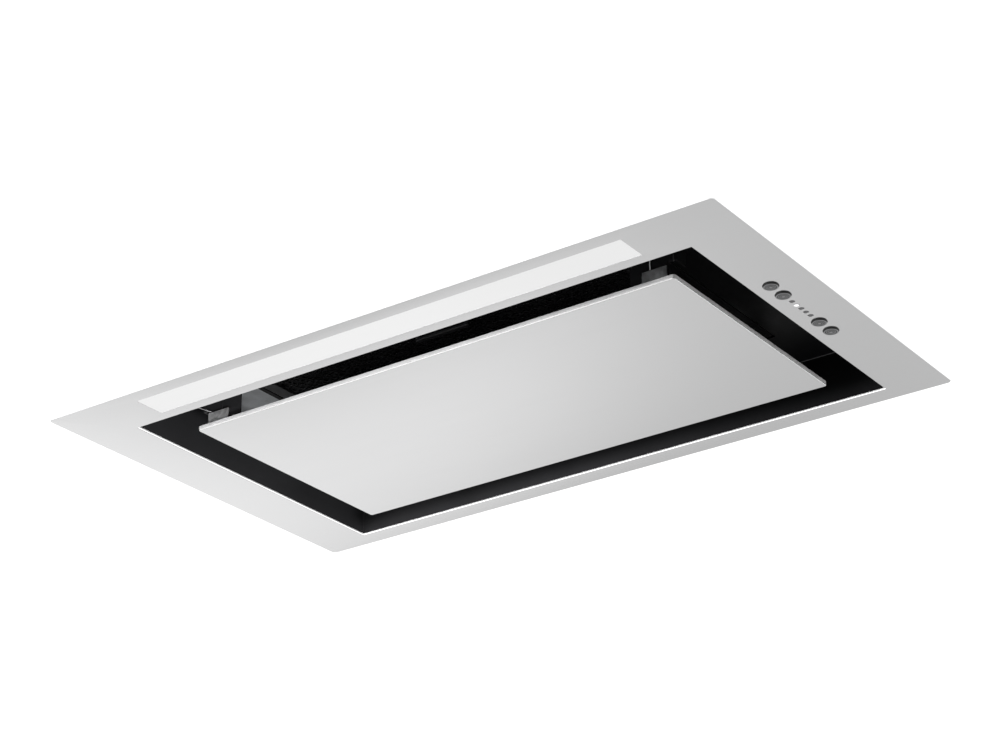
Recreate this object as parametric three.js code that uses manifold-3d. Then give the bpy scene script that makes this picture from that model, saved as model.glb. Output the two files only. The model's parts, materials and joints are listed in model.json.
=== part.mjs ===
// Ceiling range hood with perimeter suction: a flat stainless flange that sits under the
// ceiling, a drop-down suction panel in its opening, a light bar and a row of push buttons,
// and above the ceiling a sheet-metal body with a double-inlet blower and a round outlet.
//
// Units are millimetres. +Z is up, +X runs along the long side towards the buttons, and -Y is
// the long side with the light bar. The origin is the centre of the flange outline, in the
// plane of the flange's upper face, which lies against the ceiling.

import * as THREE from 'three';
import { mergeVertices } from 'three/addons/utils/BufferGeometryUtils.js';
import Module from 'manifold-3d';

const wasm = await Module();
wasm.setup();

// ---------------------------------------------------------------- driving dimensions

const GAP = 0.3;                     // free gap between pieces that rest on each other

// flange
const FLANGE_X = 540;                // outer length
const FLANGE_Y = 322;                // outer width
const SHEET = 1.3;                   // flange sheet thickness
const FLANGE_R = 4;                  // outer corner radius
const OPEN_X = 227.5;                // half length of the suction opening
const OPEN_Y0 = -114.9;              // near edge of the opening
const OPEN_Y1 = 143.9;               // far edge of the opening

// drop-down panel
const PANEL_X = 197.5;               // half length
const PANEL_Y0 = -86.0;
const PANEL_Y1 = 115.4;
const PANEL_H = 3.2;                 // height of its folded rim
const PANEL_T = 0.9;                 // its sheet thickness
const PANEL_R = 3.5;
const HINGE_Y = 107;                 // hinge axis of the panel
const HINGE_Z = 13;
const HINGE_X = 150;                 // half distance between the two hinges
const HINGE_PIN_R = 2.5;
const CATCH_X = 181.2;               // middle of each catch
const CATCH_W = 18.4;

// light bar
const BAR_X = 197.5;
const BAR_Y0 = -149.0;
const BAR_Y1 = -124.3;

// buttons and indicators
const BUTTON_X = 240.7;
const BUTTON_Y = [-40.1, -24.1, 23.9, 39.9];
const BUTTON_R = 5.3;
const BUTTON_OUT = 1.0;              // how far a button stands out under the flange
const DOT_Y = [-12.6, -6.4, -0.2, 6.0, 12.2];
const DOT_R = 1.8;

// inner collar, baffle and grease filter
const CEIL_Z = 37.7;                 // underside of the baffle and of the filter
const FILTER_X = 168.4;               // half length of the filter
const FILTER_Y0 = -66;
const FILTER_Y1 = 96;
const FILTER_H = 8;
const FILTER_RIM = 10;
const WINDOW_X0 = -211;              // window of the zinc end cover

// body above the ceiling
const BODY_X = 254;
const BODY_Y = 152;
const BODY_H = 280;
const WALL = 1.0;
const LIP = 12;

// blower, axis along X
const FAN_Y = -10;
const FAN_Z = 169;
const FAN_R = 70;                    // impeller radius
const FAN_INNER_R = 57;
const FAN_HALF = 55;                 // half width of the impeller
const BLADES = 28;
const SCROLL_R0 = 77;
const SCROLL_R1 = 120;
const SCROLL_PHI0 = 62;              // angle of the cut-off, from +Y towards +Z
const SCROLL_HALF = 60;              // half width inside the scroll
const SCROLL_T = 1.5;
const INLET_R = 55;
const MOTOR_R = 42;
const SHAFT_R = 4;

// outlet
const DUCT_R = 75;
const DUCT_Y = 70;
const DUCT_TOP = 320;
const FLAP_Z = 292;
const FLAP_PIN_R = 1.5;

// ---------------------------------------------------------------- shapes and solids

const rad = THREE.MathUtils.degToRad;

function roundedRect(x0, x1, y0, y1, r, Kind = THREE.Shape) {
  const s = new Kind();
  s.moveTo(x0 + r, y0);
  s.lineTo(x1 - r, y0);
  s.absarc(x1 - r, y0 + r, r, -Math.PI / 2, 0, false);
  s.lineTo(x1, y1 - r);
  s.absarc(x1 - r, y1 - r, r, 0, Math.PI / 2, false);
  s.lineTo(x0 + r, y1);
  s.absarc(x0 + r, y1 - r, r, Math.PI / 2, Math.PI, false);
  s.lineTo(x0, y0 + r);
  s.absarc(x0 + r, y0 + r, r, Math.PI, Math.PI * 1.5, false);
  return s;
}

function rectPath(x0, x1, y0, y1, Kind = THREE.Path) {
  const s = new Kind();
  s.moveTo(x0, y0);
  s.lineTo(x1, y0);
  s.lineTo(x1, y1);
  s.lineTo(x0, y1);
  s.closePath();
  return s;
}

function polygonPath(cx, cy, r, n, Kind = THREE.Path) {
  const pts = [];
  for (let i = 0; i < n; i++) {
    const a = (i + 0.5) * 2 * Math.PI / n;
    pts.push(new THREE.Vector2(cx + r * Math.cos(a), cy + r * Math.sin(a)));
  }
  return new Kind(pts);
}

// extrude a shape upwards from z0 to z1
function plate(shape, z0, z1, curveSegments = 4) {
  const g = new THREE.ExtrudeGeometry(shape, { depth: z1 - z0, bevelEnabled: false, curveSegments });
  g.translate(0, 0, z0);
  return g;
}

// extrude a shape drawn in the Y-Z plane along X, from x0 to x1
const YZ_TO_X = new THREE.Matrix4().makeBasis(
  new THREE.Vector3(0, 1, 0), new THREE.Vector3(0, 0, 1), new THREE.Vector3(1, 0, 0));
function alongX(shape, x0, x1, curveSegments = 4) {
  const g = new THREE.ExtrudeGeometry(shape, { depth: x1 - x0, bevelEnabled: false, curveSegments });
  g.translate(0, 0, x0);
  g.applyMatrix4(YZ_TO_X);
  return g;
}

function block(x0, x1, y0, y1, z0, z1) {
  const g = new THREE.BoxGeometry(x1 - x0, y1 - y0, z1 - z0);
  g.translate((x0 + x1) / 2, (y0 + y1) / 2, (z0 + z1) / 2);
  return g;
}

// a rod along X, Y or Z between two stations
function rod(axis, a0, a1, u, v, r, n = 20) {
  const g = new THREE.CylinderGeometry(r, r, a1 - a0, n);
  const m = (a0 + a1) / 2;
  if (axis === 'x') { g.rotateZ(-Math.PI / 2); g.translate(m, u, v); }
  else if (axis === 'y') { g.translate(u, m, v); }
  else { g.rotateX(Math.PI / 2); g.translate(u, v, m); }
  return g;
}

// a turned piece about a vertical axis: profile is [radius, z] pairs, bottom to top
function turned(profile, cx, cy, n) {
  const g = new THREE.LatheGeometry(profile.map(([r, z]) => new THREE.Vector2(r, z)), n);
  g.rotateX(Math.PI / 2);
  g.translate(cx, cy, 0);
  return g;
}

function toSolid(geometry) {
  const g = geometry.index ? geometry.toNonIndexed() : geometry.clone();
  g.deleteAttribute('normal');
  g.deleteAttribute('uv');
  const m = mergeVertices(g, 1e-4);
  const solid = new wasm.Manifold(new wasm.Mesh({
    numProp: 3,
    vertProperties: new Float32Array(m.attributes.position.array),
    triVerts: new Uint32Array(m.index.array),
  }));
  return solid;
}

function toGeometry(solid) {
  const mesh = solid.getMesh();
  const g = new THREE.BufferGeometry();
  g.setAttribute('position', new THREE.BufferAttribute(new Float32Array(mesh.vertProperties), 3));
  g.setIndex(new THREE.BufferAttribute(new Uint32Array(mesh.triVerts), 1));
  g.computeVertexNormals();
  return g;
}

function joinAll(...geometries) {
  return toGeometry(geometries.slice(1).reduce((a, b) => a.add(toSolid(b)), toSolid(geometries[0])));
}

function cutFrom(geometry, ...tools) {
  return toGeometry(tools.reduce((a, b) => a.subtract(toSolid(b)), toSolid(geometry)));
}

// ---------------------------------------------------------------- finishes

const finish = {
  steel: () => new THREE.MeshStandardMaterial({ color: 0xcfd0d2, roughness: 0.42, metalness: 0.9 }),
  blackPaint: () => new THREE.MeshStandardMaterial({ color: 0x121213, roughness: 0.38, metalness: 0.2 }),
  zinc: () => new THREE.MeshStandardMaterial({ color: 0x9aa0a4, roughness: 0.5, metalness: 0.8 }),
  aluminium: () => new THREE.MeshStandardMaterial({ color: 0xb4b6b9, roughness: 0.4, metalness: 0.9 }),
  opal: () => new THREE.MeshStandardMaterial({ color: 0xf2f3f4, roughness: 0.5, metalness: 0 }),
  button: () => new THREE.MeshStandardMaterial({ color: 0x77797c, roughness: 0.35, metalness: 0.8 }),
  clear: () => new THREE.MeshStandardMaterial({ color: 0xe8eaec, roughness: 0.3, metalness: 0 }),
  blackPlastic: () => new THREE.MeshStandardMaterial({ color: 0x1b1b1d, roughness: 0.6, metalness: 0 }),
  greyPlastic: () => new THREE.MeshStandardMaterial({ color: 0x6d7074, roughness: 0.6, metalness: 0 }),
  board: () => new THREE.MeshStandardMaterial({ color: 0x1f5a36, roughness: 0.5, metalness: 0 }),
  foam: () => new THREE.MeshStandardMaterial({ color: 0x2a2a2c, roughness: 0.9, metalness: 0 }),
  springSteel: () => new THREE.MeshStandardMaterial({ color: 0x8a8c90, roughness: 0.35, metalness: 0.9 }),
};

const hood = new THREE.Group();
function add(name, geometry, material, parent = hood) {
  const mesh = new THREE.Mesh(geometry, material);
  mesh.name = name;
  parent.add(mesh);
  return mesh;
}

// ---------------------------------------------------------------- flange and collar

{
  const outline = roundedRect(-FLANGE_X / 2, FLANGE_X / 2, -FLANGE_Y / 2, FLANGE_Y / 2, FLANGE_R);
  outline.holes.push(rectPath(-OPEN_X, OPEN_X, OPEN_Y0, OPEN_Y1));
  outline.holes.push(rectPath(-BAR_X, BAR_X, BAR_Y0, BAR_Y1));
  for (const y of BUTTON_Y) outline.holes.push(polygonPath(BUTTON_X, y, BUTTON_R + 0.3, 24));
  for (const y of DOT_Y) outline.holes.push(polygonPath(BUTTON_X, y, DOT_R + 0.2, 12));
  add('flange_frame', plate(outline, -SHEET, 0), finish.steel());
}
{
  // foam seal between the flange and the ceiling
  const ring = rectPath(-266, 266, -159.5, 159.5, THREE.Shape);
  ring.holes.push(rectPath(-255.5, 255.5, -BODY_Y - 0.8, BODY_Y + 0.8));
  add('ceiling_seal', plate(ring, 0, 1), finish.foam());
}
{
  // inner collar: four black walls around the suction opening
  const ring = rectPath(-OPEN_X - 1.2, OPEN_X + 1.2, OPEN_Y0 - 1.2, OPEN_Y1 + 1.2, THREE.Shape);
  ring.holes.push(rectPath(-OPEN_X - 0.2, OPEN_X + 0.2, OPEN_Y0 - 0.2, OPEN_Y1 + 0.2));
  add('inner_collar', plate(ring, 0.2, CEIL_Z - GAP), finish.blackPaint());
}
{
  // baffle plate that closes the body around the filter, with a window at its left end
  const ring = rectPath(-BODY_X + 1.5, BODY_X - 1.5, -BODY_Y + 1.5, BODY_Y - 1.5, THREE.Shape);
  ring.holes.push(rectPath(-FILTER_X - 0.8, FILTER_X + 0.8, FILTER_Y0 - 1, FILTER_Y1 + 1.5));
  add('baffle_plate', cutFrom(plate(ring, CEIL_Z, CEIL_Z + 1),
    block(WINDOW_X0, -FILTER_X - 4.6, FILTER_Y0 - 1, FILTER_Y1 + 1.5, CEIL_Z - 1, CEIL_Z + 2)), finish.blackPaint());
  // zinc cover that lies on the baffle over that window
  add('baffle_end_cover', block(WINDOW_X0 - 12, -FILTER_X - 1.6, FILTER_Y0 - 13, FILTER_Y1 + 13,
    CEIL_Z + 1.1, CEIL_Z + 2.1), finish.zinc());
}

// ---------------------------------------------------------------- grease filter

{
  const ring = roundedRect(-FILTER_X, FILTER_X, FILTER_Y0, FILTER_Y1, 2);
  ring.holes.push(rectPath(-FILTER_X + FILTER_RIM, FILTER_X - FILTER_RIM,
    FILTER_Y0 + FILTER_RIM, FILTER_Y1 - FILTER_RIM));
  // the near rail has a pocket that the latch slides in
  const pocket = block(-26, 26, FILTER_Y0 - 1, FILTER_Y0 + FILTER_RIM - 1.5, CEIL_Z + 1.6, CEIL_Z + 6.4);
  add('filter_frame', cutFrom(plate(ring, CEIL_Z, CEIL_Z + FILTER_H), pocket), finish.aluminium());
  // pleated aluminium mesh, drawn as a ribbed pack
  const x0 = -FILTER_X + FILTER_RIM + GAP, x1 = FILTER_X - FILTER_RIM - GAP;
  const y0 = FILTER_Y0 + FILTER_RIM + GAP, y1 = FILTER_Y1 - FILTER_RIM - GAP;
  const pleats = 16, pitch = (y1 - y0) / pleats;
  const pack = new THREE.Shape();
  pack.moveTo(y0, CEIL_Z + 1.2);
  for (let i = 0; i < pleats; i++) {
    pack.lineTo(y0 + (i + 0.5) * pitch, CEIL_Z + 3.2);
    pack.lineTo(y0 + (i + 1) * pitch, CEIL_Z + 1.2);
  }
  pack.lineTo(y1, CEIL_Z + 4.8);
  for (let i = pleats - 1; i >= 0; i--) {
    pack.lineTo(y0 + (i + 0.5) * pitch, CEIL_Z + 6.8);
    pack.lineTo(y0 + i * pitch, CEIL_Z + 4.8);
  }
  add('filter_mesh', alongX(pack, x0, x1), finish.blackPaint());
  // sliding latch in that pocket, with a lug that the finger pulls
  add('filter_latch', joinAll(
    block(-20, 20, FILTER_Y0 - 0.6, FILTER_Y0 + 4.5, CEIL_Z + 2.0, CEIL_Z + 6.0),
  ), finish.blackPlastic());
  // fixed pull ring under the near rail
  add('filter_pull', joinAll(
    block(-22, -19, FILTER_Y0 + 2.5, FILTER_Y0 + 6.5, CEIL_Z - 9, CEIL_Z - GAP),
    block(19, 22, FILTER_Y0 + 2.5, FILTER_Y0 + 6.5, CEIL_Z - 9, CEIL_Z - GAP),
    block(-22, 22, FILTER_Y0 + 2.5, FILTER_Y0 + 6.5, CEIL_Z - 11, CEIL_Z - 8.5),
  ), finish.blackPlastic());
}

// ---------------------------------------------------------------- drop-down panel

{
  const z0 = -SHEET, z1 = -SHEET + PANEL_H;
  const outer = plate(roundedRect(-PANEL_X, PANEL_X, PANEL_Y0, PANEL_Y1, PANEL_R), z0, z1, 5);
  const inner = plate(roundedRect(-PANEL_X + PANEL_T, PANEL_X - PANEL_T,
    PANEL_Y0 + PANEL_T, PANEL_Y1 - PANEL_T, PANEL_R - PANEL_T), z0 + PANEL_T, z1 + 1, 5);
  add('panel_skin', cutFrom(outer, inner), finish.steel());
  const tray = plate(roundedRect(-PANEL_X + PANEL_T + GAP, PANEL_X - PANEL_T - GAP,
    PANEL_Y0 + PANEL_T + GAP, PANEL_Y1 - PANEL_T - GAP, 2), z0 + PANEL_T + 0.1, z1 - 0.2, 3);
  add('panel_backing', tray, finish.zinc());
}
for (const [side, s] of [['left', -1], ['right', 1]]) {
  const top = -SHEET + PANEL_H;
  // catch plate that stands on the near edge of the panel
  const cx = s * CATCH_X, h = CATCH_W / 2;
  add(`panel_catch_plate_${side}`, joinAll(
    block(cx - h, cx + h, -83.2, -82.0, top + 0.1, 11.2),
    block(cx - h, cx + h, -83.2, -70, top + 0.1, top + 1.3),
  ), finish.zinc());
  // its keeper under the baffle: a notched sheet with a cheek at its outer end
  const face = new THREE.Shape();
  const u = (v) => s * v;
  face.moveTo(u(162), 4);
  face.lineTo(u(191.5), 4);
  face.lineTo(u(191.5), 14);
  face.lineTo(u(196.6), 14);
  face.lineTo(u(196.6), CEIL_Z - GAP);
  face.lineTo(u(162), CEIL_Z - GAP);
  face.closePath();
  const sheet = new THREE.ExtrudeGeometry(face, { depth: 1.2, bevelEnabled: false });
  sheet.rotateX(Math.PI / 2);
  sheet.translate(0, -80.2, 0);
  const c0 = s > 0 ? 195.4 : -196.6, k0 = s > 0 ? 162 : -196.6, k1 = s > 0 ? 196.6 : -162;
  add(`catch_keeper_${side}`, joinAll(
    sheet,
    block(c0, c0 + 1.2, -81.4, -69, 14, CEIL_Z - GAP),
    block(k0, k1, -81.4, -69, CEIL_Z - GAP - 1.2, CEIL_Z - GAP),
  ), finish.blackPaint());
  // leaf spring in front of the keeper, above the catch plate
  const leaf = new THREE.Shape();
  leaf.moveTo(-83.0, 11.9);
  leaf.lineTo(-82.2, 11.9);
  leaf.lineTo(-82.2, 26);
  leaf.lineTo(-81.6, 28);
  leaf.lineTo(-81.6, 35);
  leaf.lineTo(-82.4, 35);
  leaf.lineTo(-82.4, 28.2);
  leaf.lineTo(-83.0, 26.2);
  leaf.closePath();
  const lx = s * 178;
  add(`catch_spring_${side}`, alongX(leaf, lx - 0.7, lx + 0.7), finish.springSteel());

  // hinge: an arm on the panel turns on a pin held by a forked bracket
  const hx = s * HINGE_X;
  const arm = new THREE.Shape();
  arm.moveTo(HINGE_Y - 11, top + 0.1);
  arm.lineTo(HINGE_Y + 6, top + 0.1);
  arm.lineTo(HINGE_Y + 5.5, HINGE_Z);
  arm.absarc(HINGE_Y, HINGE_Z, 5.5, 0, Math.PI, false);
  arm.lineTo(HINGE_Y - 11, top + 4);
  arm.closePath();
  arm.holes.push(polygonPath(HINGE_Y, HINGE_Z, HINGE_PIN_R + 0.25, 20));
  add(`hinge_arm_${side}`, joinAll(
    alongX(arm, hx - 1, hx + 1, 6),
    block(hx - 12, hx + 0.5, HINGE_Y - 11, HINGE_Y + 6, top + 0.1, top + 1.6),
  ), finish.zinc());
  const ear = new THREE.Shape();
  ear.moveTo(HINGE_Y - 7, CEIL_Z - GAP);
  ear.lineTo(HINGE_Y - 7, HINGE_Z + 2);
  ear.lineTo(HINGE_Y - 5, HINGE_Z - 4);
  ear.lineTo(HINGE_Y + 5, HINGE_Z - 4);
  ear.lineTo(HINGE_Y + 7, HINGE_Z + 2);
  ear.lineTo(HINGE_Y + 7, CEIL_Z - GAP);
  ear.closePath();
  ear.holes.push(polygonPath(HINGE_Y, HINGE_Z, HINGE_PIN_R + 0.15, 20));
  add(`hinge_bracket_${side}`, joinAll(
    alongX(ear, hx - 6, hx - 4.5),
    alongX(ear, hx + 4.5, hx + 6),
    block(hx - 6, hx + 6, HINGE_Y - 7, HINGE_Y + 7, CEIL_Z - GAP - 1.5, CEIL_Z - GAP),
  ), finish.blackPaint());
  add(`hinge_pin_${side}`, joinAll(
    rod('x', hx - 8, hx + 8, HINGE_Y, HINGE_Z, HINGE_PIN_R, 20),
    rod('x', hx - 9.5, hx - 7.9, HINGE_Y, HINGE_Z, 4, 20),
    rod('x', hx + 7.9, hx + 9.5, HINGE_Y, HINGE_Z, 4, 20),
  ), finish.springSteel());
}

// ---------------------------------------------------------------- light bar

{
  const s = new THREE.Shape();
  s.moveTo(BAR_Y0 + 0.15, -SHEET);
  s.lineTo(BAR_Y1 - 0.15, -SHEET);
  s.lineTo(BAR_Y1 - 0.15, 0.2);
  s.lineTo(BAR_Y1 + 0.5, 0.2);
  s.lineTo(BAR_Y1 + 0.5, 2.4);
  s.lineTo(BAR_Y0 - 0.4, 2.4);
  s.lineTo(BAR_Y0 - 0.4, 0.2);
  s.lineTo(BAR_Y0 + 0.15, 0.2);
  s.closePath();
  add('light_diffuser', alongX(s, -BAR_X + 0.15, BAR_X - 0.15), finish.opal());
  const c = new THREE.Shape();
  c.moveTo(BAR_Y0 - 1.7, 0.3);
  c.lineTo(BAR_Y0 - 0.7, 0.3);
  c.lineTo(BAR_Y0 - 0.7, 13);
  c.lineTo(BAR_Y1 + 0.8, 13);
  c.lineTo(BAR_Y1 + 0.8, 0.3);
  c.lineTo(BAR_Y1 + 1.8, 0.3);
  c.lineTo(BAR_Y1 + 1.8, 14);
  c.lineTo(BAR_Y0 - 1.7, 14);
  c.closePath();
  add('light_housing', alongX(c, -200, 200), finish.aluminium());
  add('light_board', block(-196, 196, -143, -131, 11.2, 12.8), finish.board());
}

// ---------------------------------------------------------------- buttons and indicators

BUTTON_Y.forEach((y, i) => {
  // cap, retaining flange behind the sheet, and stem up to its switch
  add(`button_${i + 1}`, turned([
    [0, -SHEET - BUTTON_OUT], [BUTTON_R - 0.4, -SHEET - BUTTON_OUT], [BUTTON_R, -SHEET - BUTTON_OUT + 0.4],
    [BUTTON_R, 0.4], [BUTTON_R + 1, 0.4], [BUTTON_R + 1, 1.6], [3, 1.6], [3, 10.2], [0, 10.2],
  ], BUTTON_X, y, 24), finish.button());
});
// one clear moulding: five pins joined by a bridge behind the sheet
add('indicator_light_guide', joinAll(
  block(BUTTON_X - 2.4, BUTTON_X + 2.4, DOT_Y[0] - 2.6, DOT_Y[4] + 2.6, 0.5, 2.2),
  ...DOT_Y.map((y) => turned([[0, -SHEET], [DOT_R, -SHEET], [DOT_R, 11.2], [0, 11.2]], BUTTON_X, y, 12)),
), finish.clear());
{
  const x0 = 230.4, x1 = 252.4;
  const body = block(x0, x1, -53.2, 54.8, 0.3, 8.6);
  const recess = block(x0 + 2, x1 - 2, -51.2, 52.8, 0, 3.4);
  const bores = BUTTON_Y.map((y) => rod('z', 2, 10, BUTTON_X, y, 3.4, 16));
  const pipes = DOT_Y.map((y) => rod('z', 2, 10, BUTTON_X, y, DOT_R + 0.25, 12));
  add('button_carrier', cutFrom(body, recess, ...bores, ...pipes), finish.blackPlastic());
  const board = block(x0 + 0.5, x1 - 0.5, -53.2, 54.8, 12.8, 14.4);
  const switches = BUTTON_Y.map((y) => block(BUTTON_X - 3, BUTTON_X + 3, y - 3, y + 3, 11.7, 12.9));
  add('control_board', joinAll(board, ...switches), finish.board());
}

// ---------------------------------------------------------------- body above the ceiling

{
  const z1 = BODY_H;
  for (const [name, s] of [['body_front_panel', -1], ['body_rear_panel', 1]]) {
    const y0 = s < 0 ? -BODY_Y : BODY_Y - WALL, y1 = s < 0 ? -BODY_Y + WALL : BODY_Y;
    const f0 = s < 0 ? -BODY_Y : BODY_Y - LIP, f1 = s < 0 ? -BODY_Y + LIP : BODY_Y;
    add(name, joinAll(block(-BODY_X, BODY_X, y0, y1, 0.2, z1),
      block(-BODY_X, BODY_X, f0, f1, z1 - WALL, z1)), finish.zinc());
  }
  for (const [name, s] of [['body_left_panel', -1], ['body_right_panel', 1]]) {
    const x0 = s < 0 ? -BODY_X : BODY_X - WALL, x1 = s < 0 ? -BODY_X + WALL : BODY_X;
    const f0 = s < 0 ? -BODY_X : BODY_X - LIP, f1 = s < 0 ? -BODY_X + LIP : BODY_X;
    add(name, joinAll(block(x0, x1, -BODY_Y + WALL + 0.2, BODY_Y - WALL - 0.2, 0.2, z1 - WALL - 0.2),
      block(f0, f1, -BODY_Y + LIP + 0.3, BODY_Y - LIP - 0.3, z1 - WALL - 1.2, z1 - WALL - 0.2)), finish.zinc());
  }
  const top = rectPath(-BODY_X, BODY_X, -BODY_Y, BODY_Y, THREE.Shape);
  top.holes.push(polygonPath(0, DUCT_Y, DUCT_R - 2.2, 40));
  top.holes.push(polygonPath(-150, 0, 9, 16));
  add('top_plate', plate(top, z1 + 0.2, z1 + 1.2), finish.zinc());
}

// ---------------------------------------------------------------- blower

const scrollR = (deg) => SCROLL_R0 + (SCROLL_R1 - SCROLL_R0) * (deg - SCROLL_PHI0) / (360 - SCROLL_PHI0);
const scrollPoint = (deg, off = 0) => new THREE.Vector2(
  FAN_Y + (scrollR(deg) + off) * Math.cos(rad(deg)), FAN_Z + (scrollR(deg) + off) * Math.sin(rad(deg)));
const SCROLL_TOP = BODY_H - 0.3;

{
  const tongue = scrollPoint(SCROLL_PHI0);
  const pts = [tongue.clone()];
  const steps = 40;
  for (let i = 1; i <= steps; i++) pts.push(scrollPoint(SCROLL_PHI0 + (360 - SCROLL_PHI0) * i / steps));
  pts.push(new THREE.Vector2(FAN_Y + SCROLL_R1, SCROLL_TOP));
  pts.push(new THREE.Vector2(FAN_Y + SCROLL_R1 + SCROLL_T, SCROLL_TOP));
  for (let i = steps; i >= 1; i--) pts.push(scrollPoint(SCROLL_PHI0 + (360 - SCROLL_PHI0) * i / steps, SCROLL_T));
  pts.push(new THREE.Vector2(tongue.x - SCROLL_T, scrollPoint(SCROLL_PHI0 + 1.5, SCROLL_T).y + 0.6));
  pts.push(new THREE.Vector2(tongue.x - SCROLL_T, SCROLL_TOP));
  pts.push(new THREE.Vector2(tongue.x, SCROLL_TOP));
  add('scroll_wrap', alongX(new THREE.Shape(pts), -SCROLL_HALF, SCROLL_HALF), finish.blackPlastic());

  // two cheeks that close the scroll, each with a round inlet
  const cheek = [];
  cheek.push(new THREE.Vector2(tongue.x - SCROLL_T - 3, SCROLL_TOP));
  for (let i = 2; i <= steps; i++) cheek.push(scrollPoint(SCROLL_PHI0 + (360 - SCROLL_PHI0) * i / steps, SCROLL_T + 3));
  cheek.push(new THREE.Vector2(FAN_Y + SCROLL_R1 + SCROLL_T + 3, SCROLL_TOP));
  for (const [side, s] of [['left', -1], ['right', 1]]) {
    const outline = new THREE.Shape(cheek);
    outline.holes.push(polygonPath(FAN_Y, FAN_Z, INLET_R, 40));
    const a = SCROLL_HALF + 0.2, b = a + SCROLL_T;
    add(`scroll_cheek_${side}`, s < 0 ? alongX(outline, -b, -a) : alongX(outline, a, b), finish.blackPlastic());
  }
}
{
  // impeller: a row of forward-curved blades between two end rings and a middle disc
  const ringShape = () => {
    const s = polygonPath(FAN_Y, FAN_Z, FAN_R, 36, THREE.Shape);
    s.holes.push(polygonPath(FAN_Y, FAN_Z, FAN_INNER_R, 36));
    return s;
  };
  const disc = polygonPath(FAN_Y, FAN_Z, FAN_R - 1, 36, THREE.Shape);
  disc.holes.push(polygonPath(FAN_Y, FAN_Z, SHAFT_R + 0.2, 20));
  const hub = polygonPath(FAN_Y, FAN_Z, 12, 24, THREE.Shape);
  hub.holes.push(polygonPath(FAN_Y, FAN_Z, SHAFT_R + 0.2, 20));
  let solid = toSolid(alongX(ringShape(), -FAN_HALF, -FAN_HALF + 2));
  solid = solid.add(toSolid(alongX(ringShape(), FAN_HALF - 2, FAN_HALF)));
  solid = solid.add(toSolid(alongX(disc, -1, 1)));
  solid = solid.add(toSolid(alongX(hub, -8, 12)));
  for (let k = 0; k < BLADES; k++) {
    const a0 = k * 2 * Math.PI / BLADES;
    const inner = [], outer = [];
    for (let i = 0; i <= 2; i++) {
      const t = i / 2, r = FAN_INNER_R + 0.8 + (FAN_R - FAN_INNER_R - 1.6) * t;
      const a = a0 + 0.11 * t * t;
      const da = 0.55 / r;
      inner.push(new THREE.Vector2(FAN_Y + r * Math.cos(a - da), FAN_Z + r * Math.sin(a - da)));
      outer.push(new THREE.Vector2(FAN_Y + r * Math.cos(a + da), FAN_Z + r * Math.sin(a + da)));
    }
    solid = solid.add(toSolid(alongX(new THREE.Shape([...inner, ...outer.reverse()]), -FAN_HALF + 0.5, FAN_HALF - 0.5)));
  }
  add('impeller', toGeometry(solid), finish.blackPlastic());
  add('motor_shaft', rod('x', -50, 14, FAN_Y, FAN_Z, SHAFT_R, 20), finish.springSteel());
  // motor can in the left half of the impeller, with a bore for the shaft
  add('motor', cutFrom(joinAll(
    rod('x', -56, -16, FAN_Y, FAN_Z, MOTOR_R, 36),
    rod('x', -17, -12, FAN_Y, FAN_Z, 14, 24),
    rod('x', -61.8, -55, FAN_Y, FAN_Z, 22, 24),
  ), rod('x', -52, 0, FAN_Y, FAN_Z, SHAFT_R + 0.4, 20)), finish.aluminium());
  const arms = [rod('x', -63.7, -62.2, FAN_Y, FAN_Z, 26, 30)];
  for (let k = 0; k < 3; k++) {
    const g = block(-63.7, -62.2, -7, 7, 10, 66);
    g.rotateX(rad(30 + 120 * k));
    g.translate(0, FAN_Y, FAN_Z);
    arms.push(g);
  }
  add('motor_bracket', joinAll(...arms), finish.zinc());
}

// ---------------------------------------------------------------- outlet and non-return flaps

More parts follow.
